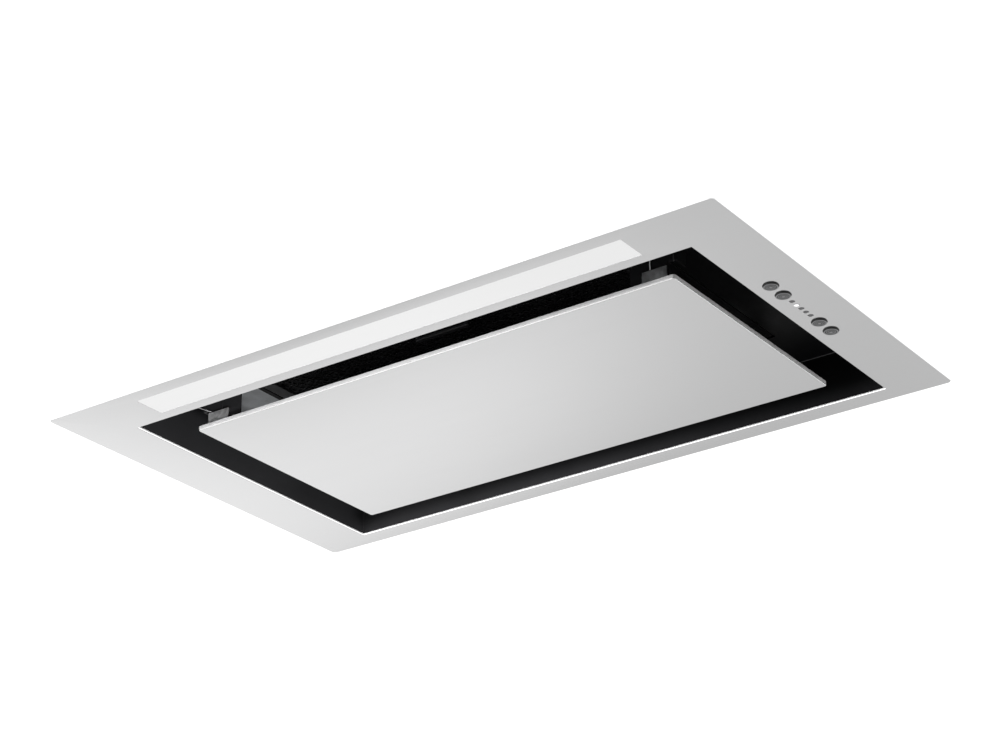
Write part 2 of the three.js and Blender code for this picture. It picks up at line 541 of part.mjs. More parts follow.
{
  const z0 = BODY_H + 1.5;
  const profile = [
    [DUCT_R - 1.8, z0], [DUCT_R + 5.2, z0], [DUCT_R + 5.2, z0 + 1.8], [DUCT_R, z0 + 1.8],
    [DUCT_R, DUCT_TOP], [DUCT_R - 1.8, DUCT_TOP], [DUCT_R - 1.8, FLAP_Z - 0.9], [DUCT_R - 4.5, FLAP_Z - 0.9],
    [DUCT_R - 4.5, FLAP_Z - 2.6], [DUCT_R - 1.8, FLAP_Z - 2.6], [DUCT_R - 1.8, z0],
  ];
  // two notches in the stop ring seat the ends of the flap pin
  add('outlet_collar', cutFrom(turned(profile, 0, DUCT_Y, 40),
    rod('y', DUCT_Y - 73, DUCT_Y + 73, 0, FLAP_Z, FLAP_PIN_R + 0.25, 16)), finish.blackPlastic());

  const knuckles = { left: [[-62, -44], [8, 26]], right: [[-26, -8], [44, 62]] };
  for (const [side, s] of [['left', -1], ['right', 1]]) {
    const leaf = [];
    const r = DUCT_R - 3.2, inner = 3.8;
    const a1 = Math.acos(inner / r);
    for (let i = 0; i <= 20; i++) {
      const a = -a1 + 2 * a1 * i / 20;
      leaf.push(new THREE.Vector2(s * r * Math.cos(a), DUCT_Y + s * r * Math.sin(a)));
    }
    let solid = toSolid(plate(new THREE.Shape(leaf), FLAP_Z - 0.5, FLAP_Z + 0.5));
    for (const [a, b] of knuckles[side]) {
      solid = solid.add(toSolid(rod('y', DUCT_Y + a, DUCT_Y + b, 0, FLAP_Z, 3, 20)));
      const tab = s < 0 ? block(-5, -1.5, DUCT_Y + a, DUCT_Y + b, FLAP_Z - 0.5, FLAP_Z + 0.5)
        : block(1.5, 5, DUCT_Y + a, DUCT_Y + b, FLAP_Z - 0.5, FLAP_Z + 0.5);
      solid = solid.add(toSolid(tab));
    }
    solid = solid.subtract(toSolid(rod('y', DUCT_Y - 80, DUCT_Y + 80, 0, FLAP_Z, FLAP_PIN_R + 0.25, 20)));
    add(`flap_${side}`, toGeometry(solid), finish.greyPlastic());
  }
  add('flap_pin', rod('y', DUCT_Y - 72.4, DUCT_Y + 72.4, 0, FLAP_Z, FLAP_PIN_R, 20), finish.springSteel());
}

// ---------------------------------------------------------------- electrical box

{
  const x0 = -236, x1 = -116, y0 = -72, y1 = 72, z0 = BODY_H + 1.5, z1 = 316;
  const shell = block(x0, x1, y0, y1, z0, z1);
  const room = block(x0 + 1.5, x1 - 1.5, y0 + 1.5, y1 - 1.5, z0 + 1.5, z1 + 1);
  const feed = rod('z', z0 - 1, z0 + 3, -150, 0, 9, 16);
  const entry = rod('x', x0 - 1, x0 + 3, 30, 298, 8.2, 20);
  add('terminal_box', cutFrom(shell, room, feed, entry), finish.greyPlastic());
  add('terminal_box_lid', joinAll(
    block(x0, x1, y0, y1, z1 + 0.2, z1 + 1.8),
    block(x0 + 2, x1 - 2, y0 + 2, y1 - 2, z1 - 2, z1 + 0.3),
  ), finish.greyPlastic());
  add('main_board', block(x0 + 26, x1 - 6, y0 + 6, -14, z0 + 7, z0 + 8.6), finish.board());
  add('terminal_block', block(x0 + 14, x0 + 34, 42, 64, z0 + 2, z0 + 20), finish.greyPlastic());
  add('capacitor', rod('y', -6, 52, -132, 300, 14, 28), finish.greyPlastic());
  add('cable_gland', cutFrom(joinAll(
    rod('x', x0 - 14, x0 - GAP, 30, 298, 11, 6),
    rod('x', x0 - 1, x0 + 8, 30, 298, 7.9, 20),
  ), rod('x', x0 - 20, x0 + 12, 30, 298, 4.6, 20)), finish.blackPlastic());
}

// ---------------------------------------------------------------- hanging brackets

for (const [end, sx] of [['left', -1], ['right', 1]]) {
  for (const [row, sy] of [['front', -1], ['rear', 1]]) {
    const yc = sy * 128, z0 = BODY_H + 1.4;
    const span = (a, b) => sx > 0 ? [a, b] : [-b, -a];
    const [f0, f1] = span(206, 231), [w0, w1] = span(229.5, 231), [t0, t1] = span(229.5, 252);
    const body = joinAll(
      block(f0, f1, yc - 14, yc + 14, z0, z0 + 1.5),
      block(w0, w1, yc - 14, yc + 14, z0, z0 + 20),
      block(t0, t1, yc - 14, yc + 14, z0 + 18.5, z0 + 20),
    );
    add(`hanger_${row}_${end}`, cutFrom(body, rod('z', z0 + 10, z0 + 30, sx * 242, yc, 4.25, 20)), finish.zinc());
  }
}

export default hood;
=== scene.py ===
import json
import math

import bmesh
import bpy
import numpy as np
from mathutils import Matrix, Vector


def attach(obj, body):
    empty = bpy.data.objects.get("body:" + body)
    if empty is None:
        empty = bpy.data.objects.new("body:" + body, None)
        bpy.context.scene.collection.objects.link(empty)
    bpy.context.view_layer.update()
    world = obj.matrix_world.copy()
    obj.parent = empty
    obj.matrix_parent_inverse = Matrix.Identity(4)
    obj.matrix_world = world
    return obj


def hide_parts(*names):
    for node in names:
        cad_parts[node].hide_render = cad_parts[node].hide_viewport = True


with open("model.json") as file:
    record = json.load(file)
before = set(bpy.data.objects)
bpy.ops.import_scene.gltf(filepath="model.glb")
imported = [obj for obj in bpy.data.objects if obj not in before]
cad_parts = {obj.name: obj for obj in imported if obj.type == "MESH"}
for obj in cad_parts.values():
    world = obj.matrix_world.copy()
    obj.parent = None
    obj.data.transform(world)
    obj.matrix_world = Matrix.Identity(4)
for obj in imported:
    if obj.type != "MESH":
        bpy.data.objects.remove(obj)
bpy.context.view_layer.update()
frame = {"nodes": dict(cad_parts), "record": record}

NODES = frame["nodes"]
BODY_OF = {n: b for b, ns in frame["record"]["behaviour"]["bodies"].items() for n in ns}
SLOT_OF = {s["node"]: s["material_slot"] for s in frame["record"]["subparts"]}
MM = 0.001
scene = bpy.context.scene
scene.view_settings.view_transform = "Standard"
scene.view_settings.look = "None"

# ------------------------------------------------------------------ camera
cam_data = bpy.data.cameras.new("camera")
cam_data.sensor_width = 36.0
cam_data.lens = 90.53
cam_data.clip_start = 0.05
cam_data.clip_end = 60.0
cam = bpy.data.objects.new("camera", cam_data)
scene.collection.objects.link(cam)
cam.matrix_world = Matrix((
    (0.818997, 0.254111, 0.514463, 0.90371552),
    (0.573615, -0.339930, -0.745260, -1.30324904),
    (-0.014497, 0.905470, -0.424164, -0.72373856),
    (0, 0, 0, 1)))
scene.camera = cam


# ------------------------------------------------------------------ node helpers
class Graph:
    """Short names for building a node tree."""

    def __init__(self, tree):
        self.t = tree

    def new(self, kind, **values):
        n = self.t.nodes.new(kind)
        for k, v in values.items():
            setattr(n, k, v)
        return n

    def put(self, socket, value):
        if isinstance(value, bpy.types.NodeSocket):
            self.t.links.new(value, socket)
        else:
            socket.default_value = value

    def math(self, op, a, b=0.0, clamp=False):
        n = self.new("ShaderNodeMath", operation=op, use_clamp=clamp)
        self.put(n.inputs[0], a)
        self.put(n.inputs[1], b)
        return n.outputs[0]

    def dot(self, a, v):
        n = self.new("ShaderNodeVectorMath", operation="DOT_PRODUCT")
        self.put(n.inputs[0], a)
        n.inputs[1].default_value = Vector(v).normalized()
        return n.outputs["Value"]

    def mapping(self, vector, scale):
        n = self.new("ShaderNodeMapping")
        self.put(n.inputs["Vector"], vector)
        n.inputs["Scale"].default_value = scale
        return n.outputs[0]

    def noise(self, vector, scale, detail=3.0, rough=0.5):
        n = self.new("ShaderNodeTexNoise")
        self.put(n.inputs["Vector"], vector)
        n.inputs["Scale"].default_value = scale
        n.inputs["Detail"].default_value = detail
        n.inputs["Roughness"].default_value = rough
        return n.outputs["Fac"]

    def span(self, value, lo, hi, a=0.25, b=0.75, smooth=False):
        n = self.new("ShaderNodeMapRange")
        if smooth:
            n.interpolation_type = "SMOOTHSTEP"
        self.put(n.inputs["Value"], value)
        n.inputs["From Min"].default_value = a
        n.inputs["From Max"].default_value = b
        n.inputs["To Min"].default_value = lo
        n.inputs["To Max"].default_value = hi
        return n.outputs["Result"]

    def mix(self, fac, a, b):
        n = self.new("ShaderNodeMix", data_type="RGBA")
        self.put(n.inputs["Factor"], fac)
        self.put(n.inputs[6], a)
        self.put(n.inputs[7], b)
        return n.outputs[2]


def rgb(r, g=None, b=None):
    return (r, r if g is None else g, r if b is None else b, 1.0)


def scaled(c, k):
    return (min(c[0] * k, 1), min(c[1] * k, 1), min(c[2] * k, 1), 1)


def blank(name):
    m = bpy.data.materials.new(name)
    m.use_nodes = True
    m.node_tree.nodes.clear()
    g = Graph(m.node_tree)
    out = g.new("ShaderNodeOutputMaterial")
    p = g.new("ShaderNodeBsdfPrincipled")
    g.t.links.new(p.outputs[0], out.inputs[0])
    coords = g.new("ShaderNodeTexCoord").outputs["Object"]
    return m, g, p, coords


def surface(name, colour, metallic=0.0, rough=0.5, spec=0.5, tint=0.05, tint_scale=30.0, rough_var=0.05,
            rough_scale=60.0, bump=0.0, bump_scale=900.0, bump_dist=0.0002, stretch=(1, 1, 1), coat=0.0,
            coat_rough=0.1, dirt=0.0, anis=0.0, painted_falloff_x=None, painted_shade_depth=None):
    """A surface with a slow random tone, an uneven gloss and a fine relief, and optional painted light and shade.

    drift = (x0, x1, k0, k1): painted light, the colour and specular level scaled from k0 to k1 along x; deep = (y0, y1,
    z0, z1, k0, k1): beyond y the colour is also scaled from k0 to k1 with height, painted light at the bottom and
    painted shade higher up."""
    m, g, p, coords = blank(name)
    v = g.mapping(coords, stretch)
    n1 = g.noise(v, tint_scale, 4.0, 0.55)
    base = g.mix(g.span(n1, 0, 1), scaled(colour, 1 - tint), scaled(colour, 1 + tint))
    # painted light and shade: the colour and specular level scale from k0 to k1 along x, and beyond y the colour also
    # scales with height
    if painted_falloff_x:
        x = g.new("ShaderNodeSeparateXYZ")
        g.put(x.inputs[0], coords)
        way = g.span(x.outputs[0], 0.0, 1.0, painted_falloff_x[0] * MM, painted_falloff_x[1] * MM, True)
        far = g.mix(g.span(n1, 0, 1), scaled(colour, (1 - tint) * painted_falloff_x[3]), scaled(colour, (1 + tint) * painted_falloff_x[3]))
        near = g.mix(g.span(n1, 0, 1), scaled(colour, (1 - tint) * painted_falloff_x[2]), scaled(colour, (1 + tint) * painted_falloff_x[2]))
        base = g.mix(way, near, far)
        g.put(p.inputs["Specular IOR Level"], g.span(way, spec, spec * painted_falloff_x[3], 0.0, 1.0))
        if painted_shade_depth:
            side = g.span(x.outputs[1], 0.0, 1.0, painted_shade_depth[0] * MM, painted_shade_depth[1] * MM, True)
            depth = g.span(x.outputs[2], painted_shade_depth[4] - 1, painted_shade_depth[5] - 1, painted_shade_depth[2] * MM, painted_shade_depth[3] * MM, True)
            k = g.new("ShaderNodeVectorMath", operation="SCALE")
            g.put(k.inputs[0], base)
            g.put(k.inputs["Scale"], g.math("ADD", 1.0, g.math("MULTIPLY", side, depth)))
            base = k.outputs[0]
    g.put(p.inputs["Base Color"], base)
    n2 = g.noise(v, rough_scale, 3.0, 0.6)
    g.put(p.inputs["Roughness"], g.span(n2, rough - rough_var, rough + rough_var))
    p.inputs["Metallic"].default_value = metallic
    if not painted_falloff_x:
        p.inputs["Specular IOR Level"].default_value = spec
    if coat:
        p.inputs["Coat Weight"].default_value = coat
        p.inputs["Coat Roughness"].default_value = coat_rough
    if anis:
        p.inputs["Anisotropic"].default_value = anis
    if bump:
        b = g.new("ShaderNodeBump")
        b.inputs["Strength"].default_value = bump
        b.inputs["Distance"].default_value = bump_dist
        g.put(b.inputs["Height"], g.noise(v, bump_scale, 2.0, 0.5))
        g.put(p.inputs["Normal"], b.outputs[0])
    return m


# ------------------------------------------------------------------ finishes
STEEL = rgb(0.80, 0.80, 0.803)
M = {}
M["steel"] = surface("steel_satin", STEEL, 1.0, 0.16, tint=0.005, tint_scale=9, rough_var=0.006, rough_scale=22,
                     bump=0.008, bump_scale=40, bump_dist=0.00001, stretch=(0.6, 34, 34))
# copies of the stainless for rims and folds: the first two are brighter (painted light), the third is darker (painted
# shade on the near fold)
M["steel_rim_painted_light"] = surface("steel_rim_painted_light", rgb(0.93), 1.0, 0.5, tint=0.02, tint_scale=60, rough_var=0.04)
M["steel_fold_painted_light"] = surface("steel_fold_painted_light", rgb(0.93), 0.72, 0.5, tint=0.02, tint_scale=60, rough_var=0.04)
M["steel_bend_painted_shade"] = surface("steel_bend_painted_shade", rgb(0.55), 0.8, 0.45, tint=0.02, tint_scale=60, rough_var=0.04)
M["enamel"] = surface("enamel_black", rgb(0.0036, 0.0037, 0.0044), 0.0, 0.42, spec=0.14, tint=0.15, tint_scale=18, rough_var=0.06,
                      rough_scale=30, bump=0.25, bump_scale=420, bump_dist=0.00012)
# collar walls: a brighter copy of the black enamel, painted light; the tone fades darker towards +x and, on the far
# wall, darker with height (painted shade)
M["enamel_wall_painted_light"] = surface("enamel_wall_painted_light", rgb(0.0135, 0.0135, 0.0145), 0.0, 0.42, spec=0.36, tint=0.12, tint_scale=14, rough_var=0.05,
                           rough_scale=26, bump=0.25, bump_scale=420, bump_dist=0.00012, painted_falloff_x=(-80, 190, 1.1, 0.52),
                           painted_shade_depth=(125, 142, 1.5, 14, 1.45, 0.35))
# lighter grey than the black enamel: a painted highlight along folded edges and seams
M["seam"] = surface("seam_painted_highlight", rgb(0.07, 0.07, 0.073), 0.3, 0.35, tint=0.2, tint_scale=40, rough_var=0.06, bump=0.1,
                    bump_scale=300, bump_dist=0.00005)
M["spring"] = surface("spring_bright", rgb(0.72, 0.73, 0.74), 1.0, 0.26, tint=0.05, tint_scale=90, rough_var=0.06, bump=0.2,
                      bump_scale=300, bump_dist=0.00003)
M["wire"] = surface("wire_plated", rgb(0.72, 0.73, 0.74), 0.25, 0.35, tint=0.05, tint_scale=90, rough_var=0.05, bump=0.15,
                    bump_scale=300, bump_dist=0.00003)
M["wire_dull"] = surface("wire_dull", rgb(0.30, 0.30, 0.305), 0.3, 0.45, tint=0.08, tint_scale=90, rough_var=0.05, bump=0.15,
                         bump_scale=300, bump_dist=0.00003)
# filter rim: painted shade, the colour and specular level fall to 0.12 from x 40 mm to 158 mm
M["filter_rim"] = surface("filter_rim_painted_shade", rgb(0.10, 0.101, 0.105), 0.25, 0.5, spec=0.3, tint=0.08, tint_scale=20, rough_var=0.06, bump=0.2,
                          bump_scale=90, bump_dist=0.00004, stretch=(1.2, 20, 20), painted_falloff_x=(40, 158, 1.0, 0.12))
M["alu"] = surface("aluminium_mill", rgb(0.63, 0.64, 0.65), 1.0, 0.36, tint=0.05, tint_scale=14, rough_var=0.06, bump=0.2,
                   bump_scale=90, bump_dist=0.00004, stretch=(1.2, 20, 20))
M["mesh"] = surface("mesh_dark", rgb(0.034, 0.034, 0.036), 0.7, 0.42, tint=0.2, tint_scale=80, rough_var=0.08, bump=0.2,
                    bump_scale=500, bump_dist=0.00005)
M["pack"] = surface("mesh_pack", rgb(0.012, 0.012, 0.013), 0.3, 0.6, tint=0.3, tint_scale=200, rough_var=0.1, bump=0.4,
                    bump_scale=260, bump_dist=0.0004)
M["black_plastic"] = surface("plastic_black", rgb(0.018, 0.018, 0.0195), 0.0, 0.5, spec=0.4, tint=0.12, tint_scale=30,
                             rough_var=0.06, bump=0.35, bump_scale=1500, bump_dist=0.00008)
M["grey_plastic"] = surface("plastic_grey", rgb(0.33, 0.335, 0.345), 0.0, 0.48, spec=0.45, tint=0.05, tint_scale=16,
                            rough_var=0.05, bump=0.3, bump_scale=1400, bump_dist=0.00006)
M["foam"] = surface("foam_strip", rgb(0.035, 0.035, 0.037), 0.0, 0.92, spec=0.2, tint=0.35, tint_scale=700, rough_var=0.05,
                    bump=0.8, bump_scale=1300, bump_dist=0.0004)
M["brass"] = surface("brass_nickel", rgb(0.66, 0.6, 0.48), 1.0, 0.32, tint=0.06, tint_scale=120, rough_var=0.06)


def zinc(name, colour, k=1.0):
    """Galvanised sheet: soft spangle with a slightly different tone and gloss in each crystal."""
    m, g, p, coords = blank(name)
    warp = g.noise(coords, 60, 2.0)
    add = g.new("ShaderNodeVectorMath", operation="MULTIPLY_ADD")
    g.put(add.inputs[0], warp)
    add.inputs[1].default_value = (0.006, 0.006, 0.006)
    g.put(add.inputs[2], coords)
    v = g.new("ShaderNodeTexVoronoi")
    g.put(v.inputs["Vector"], add.outputs[0])
    v.inputs["Scale"].default_value = 150 * k
    cell = g.new("ShaderNodeSeparateColor")
    g.put(cell.inputs[0], v.outputs["Color"])
    tone = g.math("ADD", g.math("MULTIPLY", cell.outputs[0], 0.5), g.math("MULTIPLY", g.noise(coords, 7, 3.0), 0.5))
    g.put(p.inputs["Base Color"], g.mix(g.span(tone, 0, 1, 0.15, 0.85), scaled(colour, 0.90), scaled(colour, 1.08)))
    g.put(p.inputs["Roughness"], g.span(cell.outputs[1], 0.36, 0.52, 0, 1))
    p.inputs["Metallic"].default_value = 0.95
    b = g.new("ShaderNodeBump")
    b.inputs["Strength"].default_value = 0.15
    b.inputs["Distance"].default_value = 0.00008
    g.put(b.inputs["Height"], g.math("ADD", cell.outputs[2], g.noise(coords, 500, 2.0)))
    g.put(p.inputs["Normal"], b.outputs[0])
    return m


M["zinc"] = zinc("zinc_sheet", rgb(0.52, 0.535, 0.55))
M["zinc_small"] = zinc("zinc_small", rgb(0.50, 0.51, 0.52), 2.2)
# a brighter copy of the small-spangle zinc, painted light, used only on the left catch plate
M["zinc_painted_lit"] = zinc("zinc_painted_lit", rgb(0.92, 0.92, 0.925), 2.2)


def opal():
    m, g, p, coords = blank("opal_lit")
    tone = g.noise(coords, 6, 2.0)
    g.put(p.inputs["Base Color"], g.mix(g.span(tone, 0, 1), rgb(0.045), rgb(0.05)))
    g.put(p.inputs["Roughness"], g.span(g.noise(coords, 80, 2.0), 0.42, 0.5))
    p.inputs["Emission Color"].default_value = (1.0, 1.0, 1.0, 1.0)
    p.inputs["Emission Strength"].default_value = OPAL_GLOW
    p.inputs["Specular IOR Level"].default_value = 0.1
    return m


OPAL_GLOW = 0.77
M["opal"] = opal()


def turned(name, colour, centres):
    """Turned metal: fine rings round the nearest button's middle."""
    m, g, p, coords = blank(name)
    sep = g.new("ShaderNodeSeparateXYZ")
    g.put(sep.inputs[0], coords)
    x = g.math("SUBTRACT", sep.outputs[0], centres[0])
    y = g.math("SUBTRACT", sep.outputs[1], centres[1])
    r = g.math("SQRT", g.math("ADD", g.math("MULTIPLY", x, x), g.math("MULTIPLY", y, y)))
    rings = g.math("SINE", g.math("MULTIPLY", r, 9000.0))
    n = g.noise(coords, 500, 3.0)
    tone = g.math("ADD", g.math("MULTIPLY", rings, 0.25), n)
    g.put(p.inputs["Base Color"], g.mix(g.span(tone, 0, 1, 0.2, 0.9), scaled(colour, 0.8), scaled(colour, 1.15)))
    g.put(p.inputs["Roughness"], g.span(n, 0.26, 0.4))
    p.inputs["Metallic"].default_value = 1.0
    b = g.new("ShaderNodeBump")
    b.inputs["Strength"].default_value = 0.3
    b.inputs["Distance"].default_value = 0.00004
    g.put(b.inputs["Height"], rings)
    g.put(p.inputs["Normal"], b.outputs[0])
    return m


def glow(name, colour, strength, base):
    m, g, p, coords = blank(name)
    g.put(p.inputs["Base Color"], g.mix(g.span(g.noise(coords, 900, 2.0), 0, 1), scaled(base, 0.85), scaled(base, 1.1)))
    g.put(p.inputs["Roughness"], g.span(g.noise(coords, 400, 2.0), 0.14, 0.24))
    p.inputs["Emission Color"].default_value = colour
    p.inputs["Emission Strength"].default_value = strength
    return m


M["lens_on"] = glow("lens_lit", rgb(1.0), 1.0, rgb(0.3))
# black for the button's skirt and the risers of its steps: painted shade
M["skirt"] = surface("button_skirt", rgb(0.012), 0.0, 0.5, spec=0.3, tint=0.1, tint_scale=900, rough_var=0.05)
M["lens_off"] = surface("lens_off", rgb(0.10, 0.10, 0.103), 0.0, 0.3, spec=0.4, tint=0.15, tint_scale=900, rough_var=0.04)
M["guide"] = surface("guide_clear", rgb(0.45, 0.46, 0.47), 0.0, 0.2, spec=0.5, tint=0.05, tint_scale=300, rough_var=0.05)


def board(name):
    """Circuit board: solder mask with a pattern of tracks and pads under it."""
    m, g, p, coords = blank(name)
    v = g.new("ShaderNodeTexBrick")
    g.put(v.inputs["Vector"], coords)
    v.inputs["Scale"].default_value = 260
    v.inputs["Color1"].default_value = rgb(0.012, 0.10, 0.035)
    v.inputs["Color2"].default_value = rgb(0.016, 0.13, 0.05)
    v.inputs["Mortar"].default_value = rgb(0.03, 0.20, 0.09)
    v.inputs["Mortar Size"].default_value = 0.03
    g.put(p.inputs["Base Color"], g.mix(g.span(g.noise(coords, 40, 2.0), 0, 0.4), v.outputs["Color"], rgb(0.02, 0.16, 0.06)))
    g.put(p.inputs["Roughness"], g.span(g.noise(coords, 300, 2.0), 0.25, 0.4))
    return m


M["board"] = board("solder_mask")

SLOT_MATERIAL = {
    "stainless": "steel", "black_enamel": "enamel", "zinc_sheet": "zinc", "aluminium": "alu", "filter_mesh": "pack",
    "spring_steel": "spring", "opal_diffuser": "opal", "button_metal": "spring", "clear_guide": "guide",
    "black_plastic": "black_plastic", "grey_plastic": "grey_plastic", "circuit_board": "board", "foam_seal": "foam",
}
# the left catch plate takes a brighter zinc copy than the right one, painted light
NODE_MATERIAL = {"inner_collar": "enamel_wall_painted_light", "panel_catch_plate_left": "zinc_painted_lit", "panel_catch_plate_right": "zinc_small",
                 "hinge_arm_left": "zinc_small", "hinge_arm_right": "zinc_small", "catch_keeper_left": "enamel_wall_painted_light",
                 "catch_keeper_right": "enamel_wall_painted_light"}


# ------------------------------------------------------------------ mesh helpers
def link(name, mesh, material, body, smooth=35.0):
    kept = [p.material_index for p in mesh.polygons]
    mesh.materials.clear()
    for m in material if isinstance(material, (list, tuple)) else [material]:
        mesh.materials.append(m)
    if isinstance(material, (list, tuple)):
        mesh.polygons.foreach_set("material_index", kept)
    shade(mesh, smooth)
    o = bpy.data.objects.new(name, mesh)
    scene.collection.objects.link(o)
    w = o.modifiers.new("weighted_normals", "WEIGHTED_NORMAL")
    w.keep_sharp = True
    w.weight = 100
    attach(o, body)
    return o


def shade(mesh, degrees):
    """Smooth faces, with sharp edges where two faces meet at more than that angle."""
    bm = bmesh.new()
    bm.from_mesh(mesh)
    bm.normal_update()
    limit = math.radians(degrees)
    for f in bm.faces:
        f.smooth = True
    for e in bm.edges:
        e.smooth = len(e.link_faces) == 2 and e.calc_face_angle(0) < limit
    bm.to_mesh(mesh)
    bm.free()
    mesh.update()


def from_bm(name, bm, material, body, smooth=35.0):
    mesh = bpy.data.meshes.new(name)
    bm.to_mesh(mesh)
    bm.free()
    return link(name, mesh, material, body, smooth)


def refined(node, name, width=0.25, segments=2, material=None, angle=32.0, first=None):
    """The CAD node's own shape with its edges rounded, as a piece that stands for it.
    first is (a test of an edge, a wider radius, segments) for edges that are rounded more than the rest."""
    bm = bmesh.new()
    bm.from_mesh(NODES[node].data)
    bmesh.ops.remove_doubles(bm, verts=bm.verts, dist=2e-6)
    bmesh.ops.dissolve_limit(bm, angle_limit=math.radians(0.6), verts=bm.verts, edges=bm.edges)
    bmesh.ops.recalc_face_normals(bm, faces=bm.faces)
    limit = math.radians(angle)
    if first:
        test, wide, steps = first
        edges = [e for e in bm.edges if len(e.link_faces) == 2 and e.calc_face_angle(0) > limit and test(e)]
        bmesh.ops.bevel(bm, geom=edges, offset=wide * MM, offset_type="OFFSET", segments=steps, profile=0.5,
                        affect="EDGES", clamp_overlap=True)
    edges = [e for e in bm.edges if len(e.link_faces) == 2 and e.calc_face_angle(0) > limit]
    if width:
        bmesh.ops.bevel(bm, geom=edges, offset=width * MM, offset_type="OFFSET", segments=segments, profile=0.5,
                        affect="EDGES", clamp_overlap=True)
    key = material or NODE_MATERIAL.get(node) or SLOT_MATERIAL[SLOT_OF[node]]
    o = from_bm(name, bm, M[key], BODY_OF[node], 40.0)
    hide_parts(node)
    return o


def rrect(x0, x1, y0, y1, r, n=8):
    pts = []
    for cx, cy, a0 in ((x1 - r, y0 + r, -90), (x1 - r, y1 - r, 0), (x0 + r, y1 - r, 90), (x0 + r, y0 + r, 180)):
        for i in range(n + 1):
            a = math.radians(a0 + 90 * i / n)
            pts.append((cx + r * math.cos(a), cy + r * math.sin(a)))
    return pts


def loft(bm, rings, cap0=True, cap1=True, close=False):
    """Rings of equal length, in mm, joined in order."""
    rows = [[bm.verts.new(Vector(p) * MM) for p in ring] for ring in rings]
    n = len(rows[0])
    pairs = list(zip(rows, rows[1:])) + ([(rows[-1], rows[0])] if close else [])
    for a, b in pairs:
        for i in range(n):
            bm.faces.new((a[i], a[(i + 1) % n], b[(i + 1) % n], b[i]))
    if cap0 and not close:
        bm.faces.new(rows[0][::-1])
    if cap1 and not close:
        bm.faces.new(rows[-1])
    return rows


def lathe(bm, profile, centre, axis="z", seg=48, phase=0.0):
    """Profile is (radius, station) pairs in mm; it starts and ends on the axis or closes on itself."""
    closed = profile[0][0] > 1e-6
    rows = []
    for r, s in profile:
        if r < 1e-6:
            ring = [(0, 0, s)]
        else:
            ring = [(r * math.cos(phase + 2 * math.pi * i / seg), r * math.sin(phase + 2 * math.pi * i / seg), s) for i in range(seg)]
        out = []
        for a, b, c in ring:
            if axis == "z":
                q = (centre[0] + a, centre[1] + b, centre[2] + c)
            elif axis == "x":
                q = (centre[0] + c, centre[1] + a, centre[2] + b)
            else:
                q = (centre[0] + b, centre[1] + c, centre[2] + a)
            out.append(bm.verts.new(Vector(q) * MM))
        rows.append(out)
    order = list(zip(rows, rows[1:])) + ([(rows[-1], rows[0])] if closed else [])
    for a, b in order:
        for i in range(seg):
            j = (i + 1) % seg
            if len(a) == 1 and len(b) == 1:
                continue
            if len(a) == 1:
                bm.faces.new((a[0], b[j], b[i]))
            elif len(b) == 1:
                bm.faces.new((a[i], a[j], b[0]))
            else:
                bm.faces.new((a[i], a[j], b[j], b[i]))
    return rows


def fix(bm):
    bmesh.ops.recalc_face_normals(bm, faces=bm.faces)
    return bm


def box_into(bm, x0, x1, y0, y1, z0, z1, r=0.3, seg=2):
    """A block with rounded edges."""
    tmp = bmesh.new()
    bmesh.ops.create_cube(tmp, size=1.0)
    for v in tmp.verts:
        v.co = Vector(((x0 + x1) / 2 + v.co.x * (x1 - x0), (y0 + y1) / 2 + v.co.y * (y1 - y0), (z0 + z1) / 2 + v.co.z * (z1 - z0))) * MM
    if r:
        bmesh.ops.bevel(tmp, geom=tmp.edges[:], offset=r * MM, segments=seg, profile=0.5, affect="EDGES", clamp_overlap=True)
    mesh = bpy.data.meshes.new("tmp")
    tmp.to_mesh(mesh)
    tmp.free()
    bm.from_mesh(mesh)
    bpy.data.meshes.remove(mesh)


def turned_to(bm_part, bm, at, direction):
    """Adds a part built along +Z at the origin, turned to face direction and put at that point in mm."""
    q = Vector((0, 0, 1)).rotation_difference(Vector(direction))
    m = Matrix.Translation(Vector(at) * MM) @ q.to_matrix().to_4x4()
    bmesh.ops.transform(bm_part, matrix=m, verts=bm_part.verts)
    mesh = bpy.data.meshes.new("tmp")
    bm_part.to_mesh(mesh)
    bm_part.free()
    bm.from_mesh(mesh)
    bpy.data.meshes.remove(mesh)


def screw(bm, at, direction, r=3.4, h=2.0, turn=0.3):
    """Pan-head screw with a cross recess."""
    p = bmesh.new()
    seg = 24
    radii = [0.0, 0.16, 0.32, 0.46, 0.6, 0.75, 0.9, 1.0]
    rows = []
    for k in radii:
        ring = []
        for i in range(1 if k == 0 else seg):
            a = turn + 2 * math.pi * i / seg
            x, y = k * r * math.cos(a), k * r * math.sin(a)
            z = h * (1 - 0.75 * k ** 4)
            c, s = math.cos(turn), math.sin(turn)
            u, v = x * c + y * s, -x * s + y * c
            w = r * 0.17
            if k <= 0.6 and (abs(u) < w or abs(v) < w):
                z -= h * 0.55
            ring.append(p.verts.new(Vector((x, y, z)) * MM))
        rows.append(ring)
    base = [p.verts.new(Vector((v.co.x, v.co.y, 0))) for v in rows[-1]]
    for a, b in list(zip(rows, rows[1:])) + [(rows[-1], base)]:
        for i in range(seg):
            j = (i + 1) % seg
            if len(a) == 1:
                p.faces.new((a[0], b[i], b[j]))
            else:
                p.faces.new((a[i], b[i], b[j], a[j]))
    p.faces.new(base[::-1])
    fix(p)
    turned_to(p, bm, at, direction)


def rivet(bm, at, direction, r=2.4, h=1.1, seg=18):
    p = bmesh.new()
    prof = [(0.0, h)] + [(r * math.sin(math.radians(t)), h * math.cos(math.radians(t))) for t in (20, 40, 60, 78)] + [(r, 0.0), (0.0, 0.0)]
    lathe(p, prof, (0, 0, 0), "z", seg)
    fix(p)
    turned_to(p, bm, at, direction)


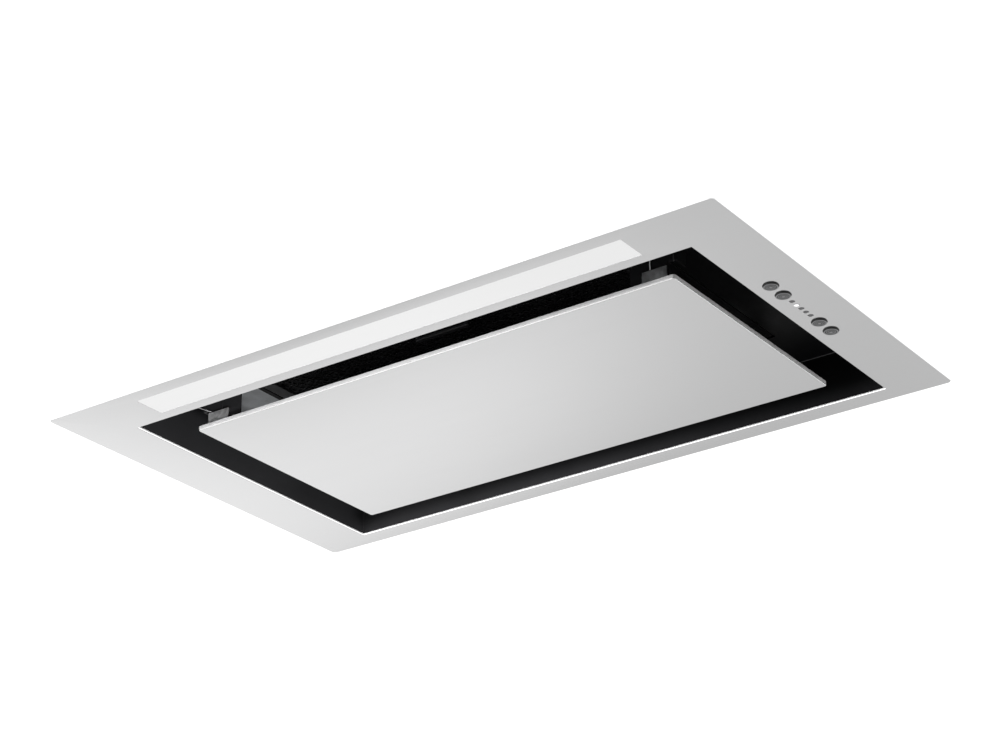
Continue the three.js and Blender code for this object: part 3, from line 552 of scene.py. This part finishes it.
def bead(bm, at, direction, along, length, width=12.0, height=1.0):
    """A pressed stiffening bead: a long low mound on a sheet."""
    n, a = Vector(direction).normalized(), Vector(along).normalized()
    s = n.cross(a)
    rows = []
    prof = [(-1, 0), (-0.82, 0.35), (-0.55, 0.8), (-0.2, 1.0), (0.2, 1.0), (0.55, 0.8), (0.82, 0.35), (1, 0)]
    stations = [(-0.5 * length, 0.0), (-0.5 * length + 0.12 * width, 0.45), (-0.5 * length + 0.3 * width, 0.75), (-0.5 * length + 0.5 * width, 1.0)]
    stations += [(-t, k) for t, k in stations[::-1]]
    for t, k in stations:
        w = 0.5 * width * max(k, 0.06) ** 0.7
        rows.append([bm.verts.new((Vector(at) + a * t + s * (w * u) + n * (height * v * min(1, k * 1.2))) * MM) for u, v in prof])
    for a_, b_ in zip(rows, rows[1:]):
        for i in range(len(prof) - 1):
            bm.faces.new((a_[i], a_[i + 1], b_[i + 1], b_[i]))
    for row in rows:
        pass
    low = [(row[0], row[-1]) for row in rows]
    for (p0, p1), (q0, q1) in zip(low, low[1:]):
        bm.faces.new((p1, p0, q0, q1))
    bm.faces.new(rows[0])
    bm.faces.new(rows[-1][::-1])


# ------------------------------------------------------------------ flange
def fill(bm, loops):
    """Closes the flat face between an outline and its holes."""
    edges = []
    for loop in loops:
        for p, q in zip(loop, loop[1:] + loop[:1]):
            edges.append(bm.edges.get((p, q)) or bm.edges.new((p, q)))
    bmesh.ops.triangle_fill(bm, use_beauty=True, use_dissolve=False, edges=edges)


def circle(cx, cy, r, n):
    return [(cx + r * math.cos(2 * math.pi * i / n), cy + r * math.sin(2 * math.pi * i / n)) for i in range(n)]


BUTTON_CX = 240.7
BUTTONS = [-40.1, -24.1, 23.9, 39.9]
DOTS = [-12.6, -6.4, -0.2, 6.0, 12.2]

bm = bmesh.new()
lower, upper = [], []


def border(rings):
    rows = loft(bm, [[(x, y, z) for x, y in ring] for ring, z in rings], False, False)
    lower.append(rows[0])
    upper.append(rows[-1])


# outer edge, slightly broken by the press tool
border([(rrect(-270 + o, 270 - o, -161 + o, 161 - o, 4 - o, 10), z)
        for o, z in ((0.4, -1.3), (0.22, -1.275), (0.07, -1.19), (0.0, -1.05), (0.0, -0.12), (0.1, 0.0))])
# suction opening: the sheet turns up into a short lip, wider on the two sides that face the light
prof = []
LIP_R, LIP_TURN, LIP_C = 0.9, 80.0, 0.80
for i in range(10):
    t = math.radians(LIP_TURN * i / 9)
    prof.append((LIP_C - LIP_R * math.sin(t), -1.3 + LIP_R * (1 - math.cos(t))))
o1, z1 = prof[-1]
top_o = o1 - (0.04 - z1) * math.tan(math.radians(90 - LIP_TURN))
prof += [(top_o, 0.04), (top_o + 0.03, 0.11), (top_o + 0.12, 0.14), (top_o + 0.4, 0.14), (top_o + 0.55, 0.0)]
border([(rrect(-227.5 - o, 227.5 + 0.12 * o, -114.9 - 0.4 * o, 143.9 + 0.55 * o, 0.2 + 0.5 * o, 5), z) for o, z in prof])
# the lip's faces take the brighter rim copy of the steel, painted light
lip_faces = [f for f in bm.faces if f.calc_center_median().z > -0.00072 and max(abs(v.co.x) for v in f.verts) < 0.2295
             and min(v.co.y for v in f.verts) > -0.1165 and max(v.co.y for v in f.verts) < 0.1459]
for f in lip_faces:
    f.material_index = 1
# slot of the light window
border([(rrect(-197.5 - o, 197.5 + o, -149.0 - o, -124.3 + o, 0.4 + o, 4), z) for o, z in ((0.16, -1.3), (0.05, -1.27), (0.0, -1.18), (0.0, 0.0))])
for y in BUTTONS:
    border([(circle(BUTTON_CX, y, 5.48 + o, 64), z) for o, z in ((0.12, -1.3), (0.03, -1.27), (0.0, -1.18), (0.0, 0.0))])
for y in DOTS:
    border([(circle(BUTTON_CX, y, 2.0 + o, 32), z) for o, z in ((0.06, -1.3), (0.0, -1.24), (0.0, 0.0))])
fill(bm, lower)
fill(bm, upper)
o = from_bm("flange_sheet", fix(bm), [M["steel"], M["steel_rim_painted_light"]], "root", 40)
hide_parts("flange_frame")
refined("ceiling_seal", "foam_ring", 0.3, 2)

# ------------------------------------------------------------------ drop-down panel
PX0, PX1, PY0, PY1 = -197.5, 197.5, -86.0, 115.4
PZ0, PZ1, PT, PR = -1.3, 1.9, 0.9, 2.3
bm = bmesh.new()
rings = []


def panel_ring(off, z, near=1.0, right=1.0, back=1.0):
    rings.append([(x, y, z) for x, y in rrect(PX0 + off * back, PX1 - off * right, PY0 + off * near, PY1 - off * back, max(PR - off * 0.5, 0.4), 8)])


panel_ring(PT + 1.6, PZ0 + PT)
panel_ring(PT + 1.2, PZ0 + PT + 0.1)
panel_ring(PT + 0.9, PZ0 + PT + 0.45)
panel_ring(PT, PZ1 - 0.22)
panel_ring(PT - 0.22, PZ1)
panel_ring(0.16, PZ1)
panel_ring(0.04, PZ1 - 0.05)
panel_ring(0.0, PZ1 - 0.15)
FOLD_R, FOLD_TURN = 1.5, 82.0
run = (PZ1 - 0.15 - (PZ0 + FOLD_R * (1 - math.cos(math.radians(FOLD_TURN))))) * math.tan(math.radians(90 - FOLD_TURN))
for i in range(12):
    t = math.radians(FOLD_TURN * (1 - i / 11))
    panel_ring(run + FOLD_R * (math.sin(math.radians(FOLD_TURN)) - math.sin(t)), PZ0 + FOLD_R * (1 - math.cos(t)), 0.42, 0.18, 0.36)
loft(bm, rings)
# rim faces take the brighter fold copy of the steel (painted light), the lower part of the near fold a darker copy
# (painted shade)
for f in bm.faces:
    c = f.calc_center_median() / MM
    if c.z > -0.85 and (c.x < PX0 + 0.6 or c.x > PX1 - 0.6 or c.y < PY0 + 0.6 or c.y > PY1 - 0.6):
        f.material_index = 1
    if -1.28 < c.z < -0.42 and c.y < PY0 + 1.0:
        f.material_index = 2
o = from_bm("panel_shell", fix(bm), [M["steel"], M["steel_fold_painted_light"], M["steel_bend_painted_shade"]], "access_panel", 50)
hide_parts("panel_skin")

# stiffened backing of the panel
refined("panel_backing", "panel_back_tray", 0.3, 2)
bm = bmesh.new()
for y in (-48, 14.7, 77):
    bead(bm, (0, y, 1.7), (0, 0, 1), (1, 0, 0), 330 if y != 77 else 250, 11, 1.2)
from_bm("panel_back_beads", fix(bm), M["zinc"], "access_panel")
bm = bmesh.new()
for x in (-188, -62, 62, 188):
    for y in (-64, 46, 106) if abs(x) > 100 else (-78, 46, 106):
        rivet(bm, (x, y, 1.66), (0, 0, 1), 2.2, 0.7)
for s in (-1, 1):
    for x in (150 * s - 8.5,):
        for y in (99.5, 109):
            rivet(bm, (x, y, 3.55), (0, 0, 1), 1.7, 0.7)
    for x in (176, 186.5):
        rivet(bm, (s * x, -75, 3.16), (0, 0, 1), 1.8, 0.7)
from_bm("panel_rivets", fix(bm), M["spring"], "access_panel")

for side in ("left", "right"):
    refined("panel_catch_plate_" + side, "catch_plate_" + side, 0.2, 2)
    refined("hinge_arm_" + side, "hinge_leaf_" + side, 0.2, 2)
    refined("hinge_bracket_" + side, "hinge_fork_" + side, 0.2, 2)
    refined("catch_keeper_" + side, "keeper_" + side, 0.2, 2)

    hx = -150 if side == "left" else 150
    bm = bmesh.new()
    lathe(bm, [(0, -9.5), (3.4, -9.5), (4, -9.0), (4, -8.3), (3.6, -7.9), (2.5, -7.9), (2.5, 7.9), (3.6, 7.9), (4, 8.3), (4, 9.0), (3.4, 9.5), (0, 9.5)],
          (hx, 107, 13), "x", 32)
    o = from_bm("hinge_pin_turned_" + side, fix(bm), M["spring"], BODY_OF["hinge_pin_" + side])
    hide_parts("hinge_pin_" + side)

    # wire spring of the catch: a standing leg, and on the left a second leg that is hooked into the near wall
    sx = -178.0 if side == "left" else 178.0
    path = [(0, -82.55, 12.0), (0, -82.62, 17), (0, -82.62, 22), (0, -82.3, 26), (0, -82.05, 29), (0, -82.0, 35)]
    bm = bmesh.new()
    rows = []
    for k, (dx, y, z) in enumerate(path):
        rows.append([(sx + 0.42 * math.cos(t), y + 0.36 * math.sin(t), z) for t in [2 * math.pi * i / 12 for i in range(12)]])
    loft(bm, rows)
    # the left wire takes the dark collar enamel and the right the bright wire finish: painted shade on the left copy
    o = from_bm("catch_wire_" + side, fix(bm), M["wire" if side == "right" else "enamel_wall_painted_light"], BODY_OF["catch_spring_" + side])
    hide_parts("catch_spring_" + side)
    if side == "left":
        bm = bmesh.new()
        leg = [(-187.6, -81.6, 11.7), (-187.8, -82.9, 11.7), (-188.1, -84.0, 11.7), (-189.4, -90.0, 11.7), (-193.7, -109.0, 11.7), (-195.0, -114.6, 11.7)]
        rows = []
        for k, p in enumerate(leg):
            a_, b_ = Vector(leg[max(k - 1, 0)]), Vector(leg[min(k + 1, len(leg) - 1)])
            t = (b_ - a_).normalized()
            u = t.cross(Vector((0, 0.1, 1))).normalized() if abs(t.z) < 0.9 else Vector((1, 0, 0))
            v = t.cross(u)
            rows.append([tuple(Vector(p) + u * 0.26 * math.cos(w) + v * 0.26 * math.sin(w)) for w in [2 * math.pi * i / 12 for i in range(12)]])
        loft(bm, rows)
        from_bm("catch_wire_leg", fix(bm), M["wire_dull"], "root")

# fold of the right keeper's cheek, a lighter grey rod: painted highlight along its edge
bm = bmesh.new()
rows = []
for z in (13.4, 15.0, 16.6, 18.2):
    rows.append([(195.05 + 0.4 * math.cos(t), -81.45 + 0.4 * math.sin(t), z) for t in [2 * math.pi * i / 12 for i in range(12)]])
loft(bm, rows)
from_bm("keeper_fold", fix(bm), M["seam"], "root")

# ------------------------------------------------------------------ collar, baffle and end cover
refined("inner_collar", "collar_walls", 0.15, 1)
refined("baffle_plate", "baffle_sheet", 0.15, 1)
refined("baffle_end_cover", "end_cover", 0.2, 1)
# rod along the top seam of the far wall, lighter grey: painted highlight
bm = bmesh.new()
rows = []
for x in np.linspace(-227.2, 227.2, 40):
    rows.append([(x, 143.7 + 0.32 * math.cos(t), 37.15 + 0.32 * math.sin(t)) for t in [2 * math.pi * i / 10 for i in range(10)]])
loft(bm, rows)
from_bm("collar_seam", fix(bm), M["seam"], "root")

# ------------------------------------------------------------------ grease filter
refined("filter_frame", "filter_rim", 0.8, 3, "filter_rim")
refined("filter_latch", "latch_slider", 0.5, 3)
refined("filter_pull", "pull_ring", 0.9, 3)

FX0, FX1, FY0, FY1 = -157.8, 157.8, -55.4, 85.4
PLEAT = (85.7 + 55.7) / 16


def pleat_z(y):
    t = ((y + 55.7) / PLEAT) % 1.0
    return 38.9 + 2.0 * (1 - abs(2 * t - 1))


def lattice(name, drop, top=False):
    """Expanded metal: a sheet of small diamonds that follows the pleats."""
    bm = bmesh.new()
    nx, ny = 44, 32
    dx, dy = (FX1 - FX0) / nx, (FY1 - FY0) / ny
    bar = 0.27
    grid = {}

    def vert(i, j, u, v):
        x = min(max(FX0 + (i + 1) * dx / 2 + u, FX0), FX1)
        y = min(max(FY0 + (j + 1) * dy / 2 + v, FY0), FY1)
        key = (round(x, 3), round(y, 3))
        if key not in grid:
            z = pleat_z(y) + (5.9 if top else 0.0) + drop
            grid[key] = bm.verts.new(Vector((x, y, z)) * MM)
        return grid[key]

    for j in range(-1, 2 * ny):
        for i in range(-1, 2 * nx):
            if (i + j) % 2:
                continue
            outer = [(-dx / 2, 0), (0, -dy / 2), (dx / 2, 0), (0, dy / 2)]
            inner = [(a * (1 - bar * 1.25), b * (1 - bar * 1.25)) for a, b in outer]
            o_ = [vert(i, j, a, b) for a, b in outer]
            n_ = [vert(i, j, a, b) for a, b in inner]
            for k in range(4):
                q = (o_[k], o_[(k + 1) % 4], n_[(k + 1) % 4], n_[k])
                if len(set(q)) < 4 or any((a.co - b.co).length < 1e-6 for a, b in zip(q, q[1:] + q[:1])):
                    continue
                try:
                    bm.faces.new(q)
                except ValueError:
                    pass
    bmesh.ops.recalc_face_normals(bm, faces=bm.faces)
    geom = bmesh.ops.extrude_face_region(bm, geom=bm.faces[:])
    up = [g_ for g_ in geom["geom"] if isinstance(g_, bmesh.types.BMVert)]
    bmesh.ops.translate(bm, verts=up, vec=(0, 0, 0.35 * MM))
    loose = [v for v in bm.verts if not v.link_faces]
    bmesh.ops.delete(bm, geom=loose, context="VERTS")
    fix(bm)
    return from_bm(name, bm, M["mesh"], "grease_filter", 25)


lattice("filter_lattice", -0.55)
NODES["filter_mesh"].data.materials.clear()
NODES["filter_mesh"].data.materials.append(M["pack"])

# ------------------------------------------------------------------ light bar
refined("light_diffuser", "light_window", 0.12, 1, "opal")
refined("light_housing", "light_trough", 0.2, 1)

# ------------------------------------------------------------------ buttons and indicators
for i, y in enumerate(BUTTONS, 1):
    m = turned("button_turned_%d" % i, rgb(0.36, 0.362, 0.368), (BUTTON_CX * MM, y * MM))
    bm = bmesh.new()
    zf = -2.56
    prof = [(0.0, zf + 0.06), (0.6, zf + 0.05), (1.1, zf), (1.25, zf + 0.02)]
    for r, z in ((1.3, 0.05), (2.4, 0.11), (3.5, 0.17)):
        prof += [(r, zf + z + 0.22), (r + 0.4, zf + z + 0.22), (r + 0.45, zf + z + 0.02), (r + 0.6, zf + z - 0.01), (r + 1.05, zf + z + 0.03)]
    prof += [(4.82, zf + 0.24), (4.95, zf + 0.33), (5.02, zf + 0.46), (5.06, zf + 0.7), (5.1, zf + 1.0), (5.3, zf + 1.1), (5.3, 0.4), (6.3, 0.4), (6.3, 1.6),
             (3.0, 1.6), (3.0, 10.2), (0.0, 10.2)]
    lathe(bm, prof, (BUTTON_CX, y, 0), "z", 72)
    fix(bm)
    # risers of the turned steps and the skirt take a black finish, painted shade in the grooves and on the near side
    # wall; the steps themselves are bare metal
    for f in bm.faces:
        c = f.calc_center_median() / MM
        r = math.hypot(c.x - BUTTON_CX, c.y - y)
        groove = any(g - 0.06 < r < g + 0.46 for g in (1.3, 2.4, 3.5))
        painted_shade_ring = r > 4.8 or groove
        f.material_index = 1 if painted_shade_ring else 0
    o = from_bm("button_cap_%d" % i, bm, [m, M["skirt"]], "button_%d" % i, 30)
    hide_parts("button_%d" % i)

for i, y in enumerate(DOTS, 1):
    bm = bmesh.new()
    lathe(bm, [(0.0, -1.46), (0.8, -1.455), (1.35, -1.43), (1.7, -1.38), (1.88, -1.27), (1.92, -1.1), (1.92, -0.2), (0.0, -0.2)], (BUTTON_CX, y, 0), "z", 32)
    if i == 2:
        for v in bm.verts:
            v.co.x = (BUTTON_CX - 0.28 + (v.co.x / MM - BUTTON_CX) * 0.82) * MM
            v.co.y = (y + 0.28 + (v.co.y / MM - y) * 0.82) * MM
    from_bm("indicator_lens_%d" % i, fix(bm), M["lens_on"] if i == 2 else M["lens_off"], "root")

# ------------------------------------------------------------------ body above the ceiling
for n in ("body_front_panel", "body_rear_panel", "body_left_panel", "body_right_panel"):
    refined(n, n.replace("body", "casing"), 0.35, 2)
refined("top_plate", "casing_top", 0.35, 2)

bm = bmesh.new()
for s in (-1, 1):
    for z in (70, 140, 210):
        bead(bm, (0, s * 152, z), (0, s, 0), (1, 0, 0), 400, 16, 1.4)
        bead(bm, (s * 254, 0, z), (s, 0, 0), (0, 1, 0), 200, 16, 1.4)
bead(bm, (190, 10, 281.2), (0, 0, 1), (0, 1, 0), 170, 14, 1.2)
bead(bm, (150, 10, 281.2), (0, 0, 1), (0, 1, 0), 170, 14, 1.2)
bead(bm, (110, 0, 281.2), (0, 0, 1), (0, 1, 0), 150, 14, 1.2)
from_bm("casing_beads", fix(bm), M["zinc"], "root")

bm = bmesh.new()
for s in (-1, 1):
    for z in (28, 105, 175, 252):
        screw(bm, (s * 246, -152, z), (0, -1, 0), 3.2, 1.8, 0.4 * z)
        screw(bm, (s * 246, 152, z), (0, 1, 0), 3.2, 1.8, 0.3 * z)
    for x in (-200, -70, 70, 200):
        screw(bm, (x, s * 145, 281.2), (0, 0, 1), 3.2, 1.8, 0.1 * x)
    screw(bm, (s * 248, -60, 281.2), (0, 0, 1), 3.2, 1.8, 0.9)
    screw(bm, (s * 248, 60, 281.2), (0, 0, 1), 3.2, 1.8, 1.7)
    for sy in (-1, 1):
        screw(bm, (s * 214, sy * 128 - 7, 282.9), (0, 0, 1), 3.0, 1.6, 0.7 + s)
        screw(bm, (s * 214, sy * 128 + 7, 282.9), (0, 0, 1), 3.0, 1.6, 1.9 + s)
for k in range(6):
    a = math.radians(30 + 60 * k)
    screw(bm, (77.7 * math.cos(a), 70 + 77.7 * math.sin(a), 283.3), (0, 0, 1), 2.2, 1.2, a)
from_bm("casing_screws", fix(bm), M["spring"], "root")

bm = bmesh.new()
for s in (-1, 1):
    for z in (12, 60, 108, 156, 204):
        rivet(bm, (s * 254, -140, z + 12), (s, 0, 0))
        rivet(bm, (s * 254, 140, z + 12), (s, 0, 0))
from_bm("casing_rivets", fix(bm), M["spring"], "root")

for end in ("left", "right"):
    for row in ("front", "rear"):
        refined("hanger_%s_%s" % (row, end), "rod_bracket_%s_%s" % (row, end), 0.35, 2)

# ------------------------------------------------------------------ outlet and flaps
bm = bmesh.new()
R, CY = 75.0, 70.0
prof = [(R - 1.8, 281.5), (R + 4.6, 281.5), (R + 5.2, 281.9), (R + 5.2, 282.9), (R + 4.6, 283.3), (R + 0.8, 283.3), (R + 0.2, 283.6), (R, 284.4),
        (R, 290.0), (R + 0.5, 290.7), (R + 0.5, 291.5), (R, 292.2), (R, 304.4), (R + 0.7, 305.2), (R + 0.7, 306.2), (R, 307.0),
        (R, 311.4), (R + 0.7, 312.2), (R + 0.7, 313.2), (R, 314.0), (R, 319.2), (R - 0.3, 319.8), (R - 0.7, 320.0), (R - 1.3, 320.0), (R - 1.7, 319.7),
        (R - 1.8, 319.3), (R - 1.8, 291.1), (R - 4.3, 291.1), (R - 4.5, 290.9), (R - 4.5, 289.6), (R - 4.3, 289.4), (R - 1.8, 289.4)]
lathe(bm, prof, (0, CY, 0), "z", 96)
o = from_bm("outlet_ring", fix(bm), M["black_plastic"], "root", 30)
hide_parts("outlet_collar")
for side, s in (("left", -1), ("right", 1)):
    refined("flap_" + side, "flap_leaf_" + side, 0.2, 2)
    bm = bmesh.new()
    for dy in (-34, 0, 34):
        half = math.sqrt(max(69.0 ** 2 - dy ** 2, 0)) - 6
        box_into(bm, *sorted((s * 21.0, s * half)), CY + dy - 0.7, CY + dy + 0.7, 292.4, 294.2, 0.3, 2)
    from_bm("flap_ribs_" + side, fix(bm), M["grey_plastic"], "flap_" + side)

# ------------------------------------------------------------------ terminal box
refined("terminal_box", "supply_box", 0.9, 3)
refined("terminal_box_lid", "supply_box_lid", 0.7, 3)
bm = bmesh.new()
for x in (-229, -123):
    for y in (-65, 65):
        screw(bm, (x, y, 317.8), (0, 0, 1), 2.7, 1.5, x * y)
from_bm("supply_box_screws", fix(bm), M["spring"], "root")
bm = bmesh.new()
for x in range(-205, -140, 10):
    box_into(bm, x - 1.2, x + 1.2, -46, 46, 317.5, 318.8, 0.5, 3)
from_bm("supply_box_ribs", fix(bm), M["grey_plastic"], "root")

bm = bmesh.new()
xg, yg, zg = 0, 30, 298
hexa = []
for x, r in ((-236.3, 10.2), (-237.0, 11.0), (-242.4, 11.0), (-243.1, 10.2)):
    hexa.append([(x, yg + r * math.cos(math.radians(60 * k)), zg + r * math.sin(math.radians(60 * k))) for k in range(6)])
inner = [[(x, yg + 4.7 * math.cos(math.radians(60 * k)), zg + 4.7 * math.sin(math.radians(60 * k))) for k in range(6)] for x in (-243.1, -236.3)]
loft(bm, hexa + inner, close=True)
seg = 36
prof = [(4.6, -250.0), (5.6, -250.0), (6.8, -249.4), (8.2, -247.8), (9.2, -245.6), (9.6, -243.3), (4.6, -243.3)]
lathe(bm, prof, (0, yg, zg), "x", seg)
lathe(bm, [(4.6, -236.6), (7.9, -236.6), (7.9, -228.3), (7.6, -228.0), (4.9, -228.0), (4.6, -228.3)], (0, yg, zg), "x", seg)
for k in range(18):
    a = 2 * math.pi * k / 18
    box_into(bm, -247.0, -243.4, yg + 9.0 * math.cos(a) - 0.45, yg + 9.0 * math.cos(a) + 0.45, zg + 9.0 * math.sin(a) - 0.45, zg + 9.0 * math.sin(a) + 0.45, 0.15, 1)
o = from_bm("gland_nut", fix(bm), M["black_plastic"], "root", 35)
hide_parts("cable_gland")

# ------------------------------------------------------------------ the rest keeps its own shape and takes its finish
for n, o in NODES.items():
    if o.hide_render:
        continue
    key = NODE_MATERIAL.get(n) or SLOT_MATERIAL[SLOT_OF[n]]
    o.data.materials.clear()
    o.data.materials.append(M[key])

# ------------------------------------------------------------------ stage: the ceiling board, white from below and pale from above
def emitter(name, strength):
    m = bpy.data.materials.new(name)
    m.use_nodes = True
    m.node_tree.nodes.clear()
    g = Graph(m.node_tree)
    out = g.new("ShaderNodeOutputMaterial")
    e = g.new("ShaderNodeEmission")
    e.inputs["Strength"].default_value = strength
    g.t.links.new(e.outputs[0], out.inputs[0])
    return m


def sheet_with_hole(name, z, mat, size=9.0):
    hx, hy = 0.2685, 0.1595
    xs, ys = [-size, -hx, hx, size], [-size, -hy, hy, size]
    verts = [(x, y, z) for y in ys for x in xs]
    faces = [(4 * j + i, 4 * j + i + 1, 4 * j + i + 5, 4 * j + i + 4) for j in range(3) for i in range(3) if (i, j) != (1, 1)]
    mesh = bpy.data.meshes.new(name)
    mesh.from_pydata(verts, [], faces)
    mesh.materials.append(mat)
    o = bpy.data.objects.new(name, mesh)
    scene.collection.objects.link(o)
    return o


sheet_with_hole("ceiling_underside", 0.00015, emitter("board_white", 1.25))
sheet_with_hole("ceiling_top", 0.0006, surface("board_pale", rgb(0.82), 0.0, 0.8, spec=0.2, tint=0.01))

# ------------------------------------------------------------------ soft studio light
world = bpy.data.worlds.new("studio")
scene.world = world
world.use_nodes = True
wt = world.node_tree
wt.nodes.clear()
g = Graph(wt)
wout = g.new("ShaderNodeOutputWorld")
bg = g.new("ShaderNodeBackground")
g.t.links.new(bg.outputs[0], wout.inputs[0])
direction = g.new("ShaderNodeTexCoord").outputs["Generated"]
sep = g.new("ShaderNodeSeparateXYZ")
g.put(sep.inputs[0], direction)
WX, WY, WZ = sep.outputs


def blob(az, el, k):
    """A soft round glow; az turns from +Y towards -X, el is below the horizon."""
    a, e = math.radians(az), math.radians(el)
    d = g.dot(direction, (-math.sin(a) * math.cos(e), math.cos(a) * math.cos(e), -math.sin(e)))
    return g.math("EXPONENT", g.math("MULTIPLY", g.math("SUBTRACT", d, 1.0), k))


def total(*terms):
    value = terms[0]
    for t in terms[1:]:
        value = g.math("ADD", value, t)
    return value


def times(a, k):
    return g.math("MULTIPLY", a, k)


below = total(0.564,
              times(blob(46.6, 18.7, 149), 0.773), times(blob(34.2, 17.8, 194), -0.9),
              times(blob(36.4, 24.1, 203), 1.061), times(blob(39.4, 29.9, 207), -0.9),
              times(blob(147, 13, 7), 2.75), times(blob(100, 58, 9), 0.3), times(blob(-29, 34, 12), 1.1), times(blob(-44, 5, 9), 0.9))
below = g.math("MAXIMUM", below, 0.03)
above = 0.75
level = g.math("ADD", g.math("MULTIPLY", below, g.math("LESS_THAN", WZ, 0.0)), g.math("MULTIPLY", above, g.math("GREATER_THAN", WZ, 0.0)))
g.put(bg.inputs["Strength"], level)
bg.inputs["Color"].default_value = (1, 1, 1, 1)


def area(name, loc, at, size, power):
    d = bpy.data.lights.new(name, "AREA")
    d.shape = "DISK"
    d.size = size
    d.energy = power
    o = bpy.data.objects.new(name, d)
    scene.collection.objects.link(o)
    o.location = loc
    o.rotation_mode = "QUATERNION"
    o.rotation_quaternion = (Vector(at) - Vector(loc)).to_track_quat("-Z", "Y")
    return o


def spot(name, loc, at, angle, power, radius=0.05):
    d = bpy.data.lights.new(name, "SPOT")
    d.spot_size = math.radians(angle)
    d.spot_blend = 1.0
    d.shadow_soft_size = radius
    d.energy = power
    o = bpy.data.objects.new(name, d)
    scene.collection.objects.link(o)
    o.location = loc
    o.rotation_mode = "QUATERNION"
    o.rotation_quaternion = (Vector(at) - Vector(loc)).to_track_quat("-Z", "Y")
    return o


spot("gap_light", (0.25, -0.45, -0.50), (-0.23, 0.12, 0.01), 56, 30)
area("key_above", (-1.2, -1.6, 2.2), (0, 0, 0.15), 1.4, 55)
area("fill_above", (1.8, 1.0, 1.6), (0, 0, 0.15), 1.2, 18)
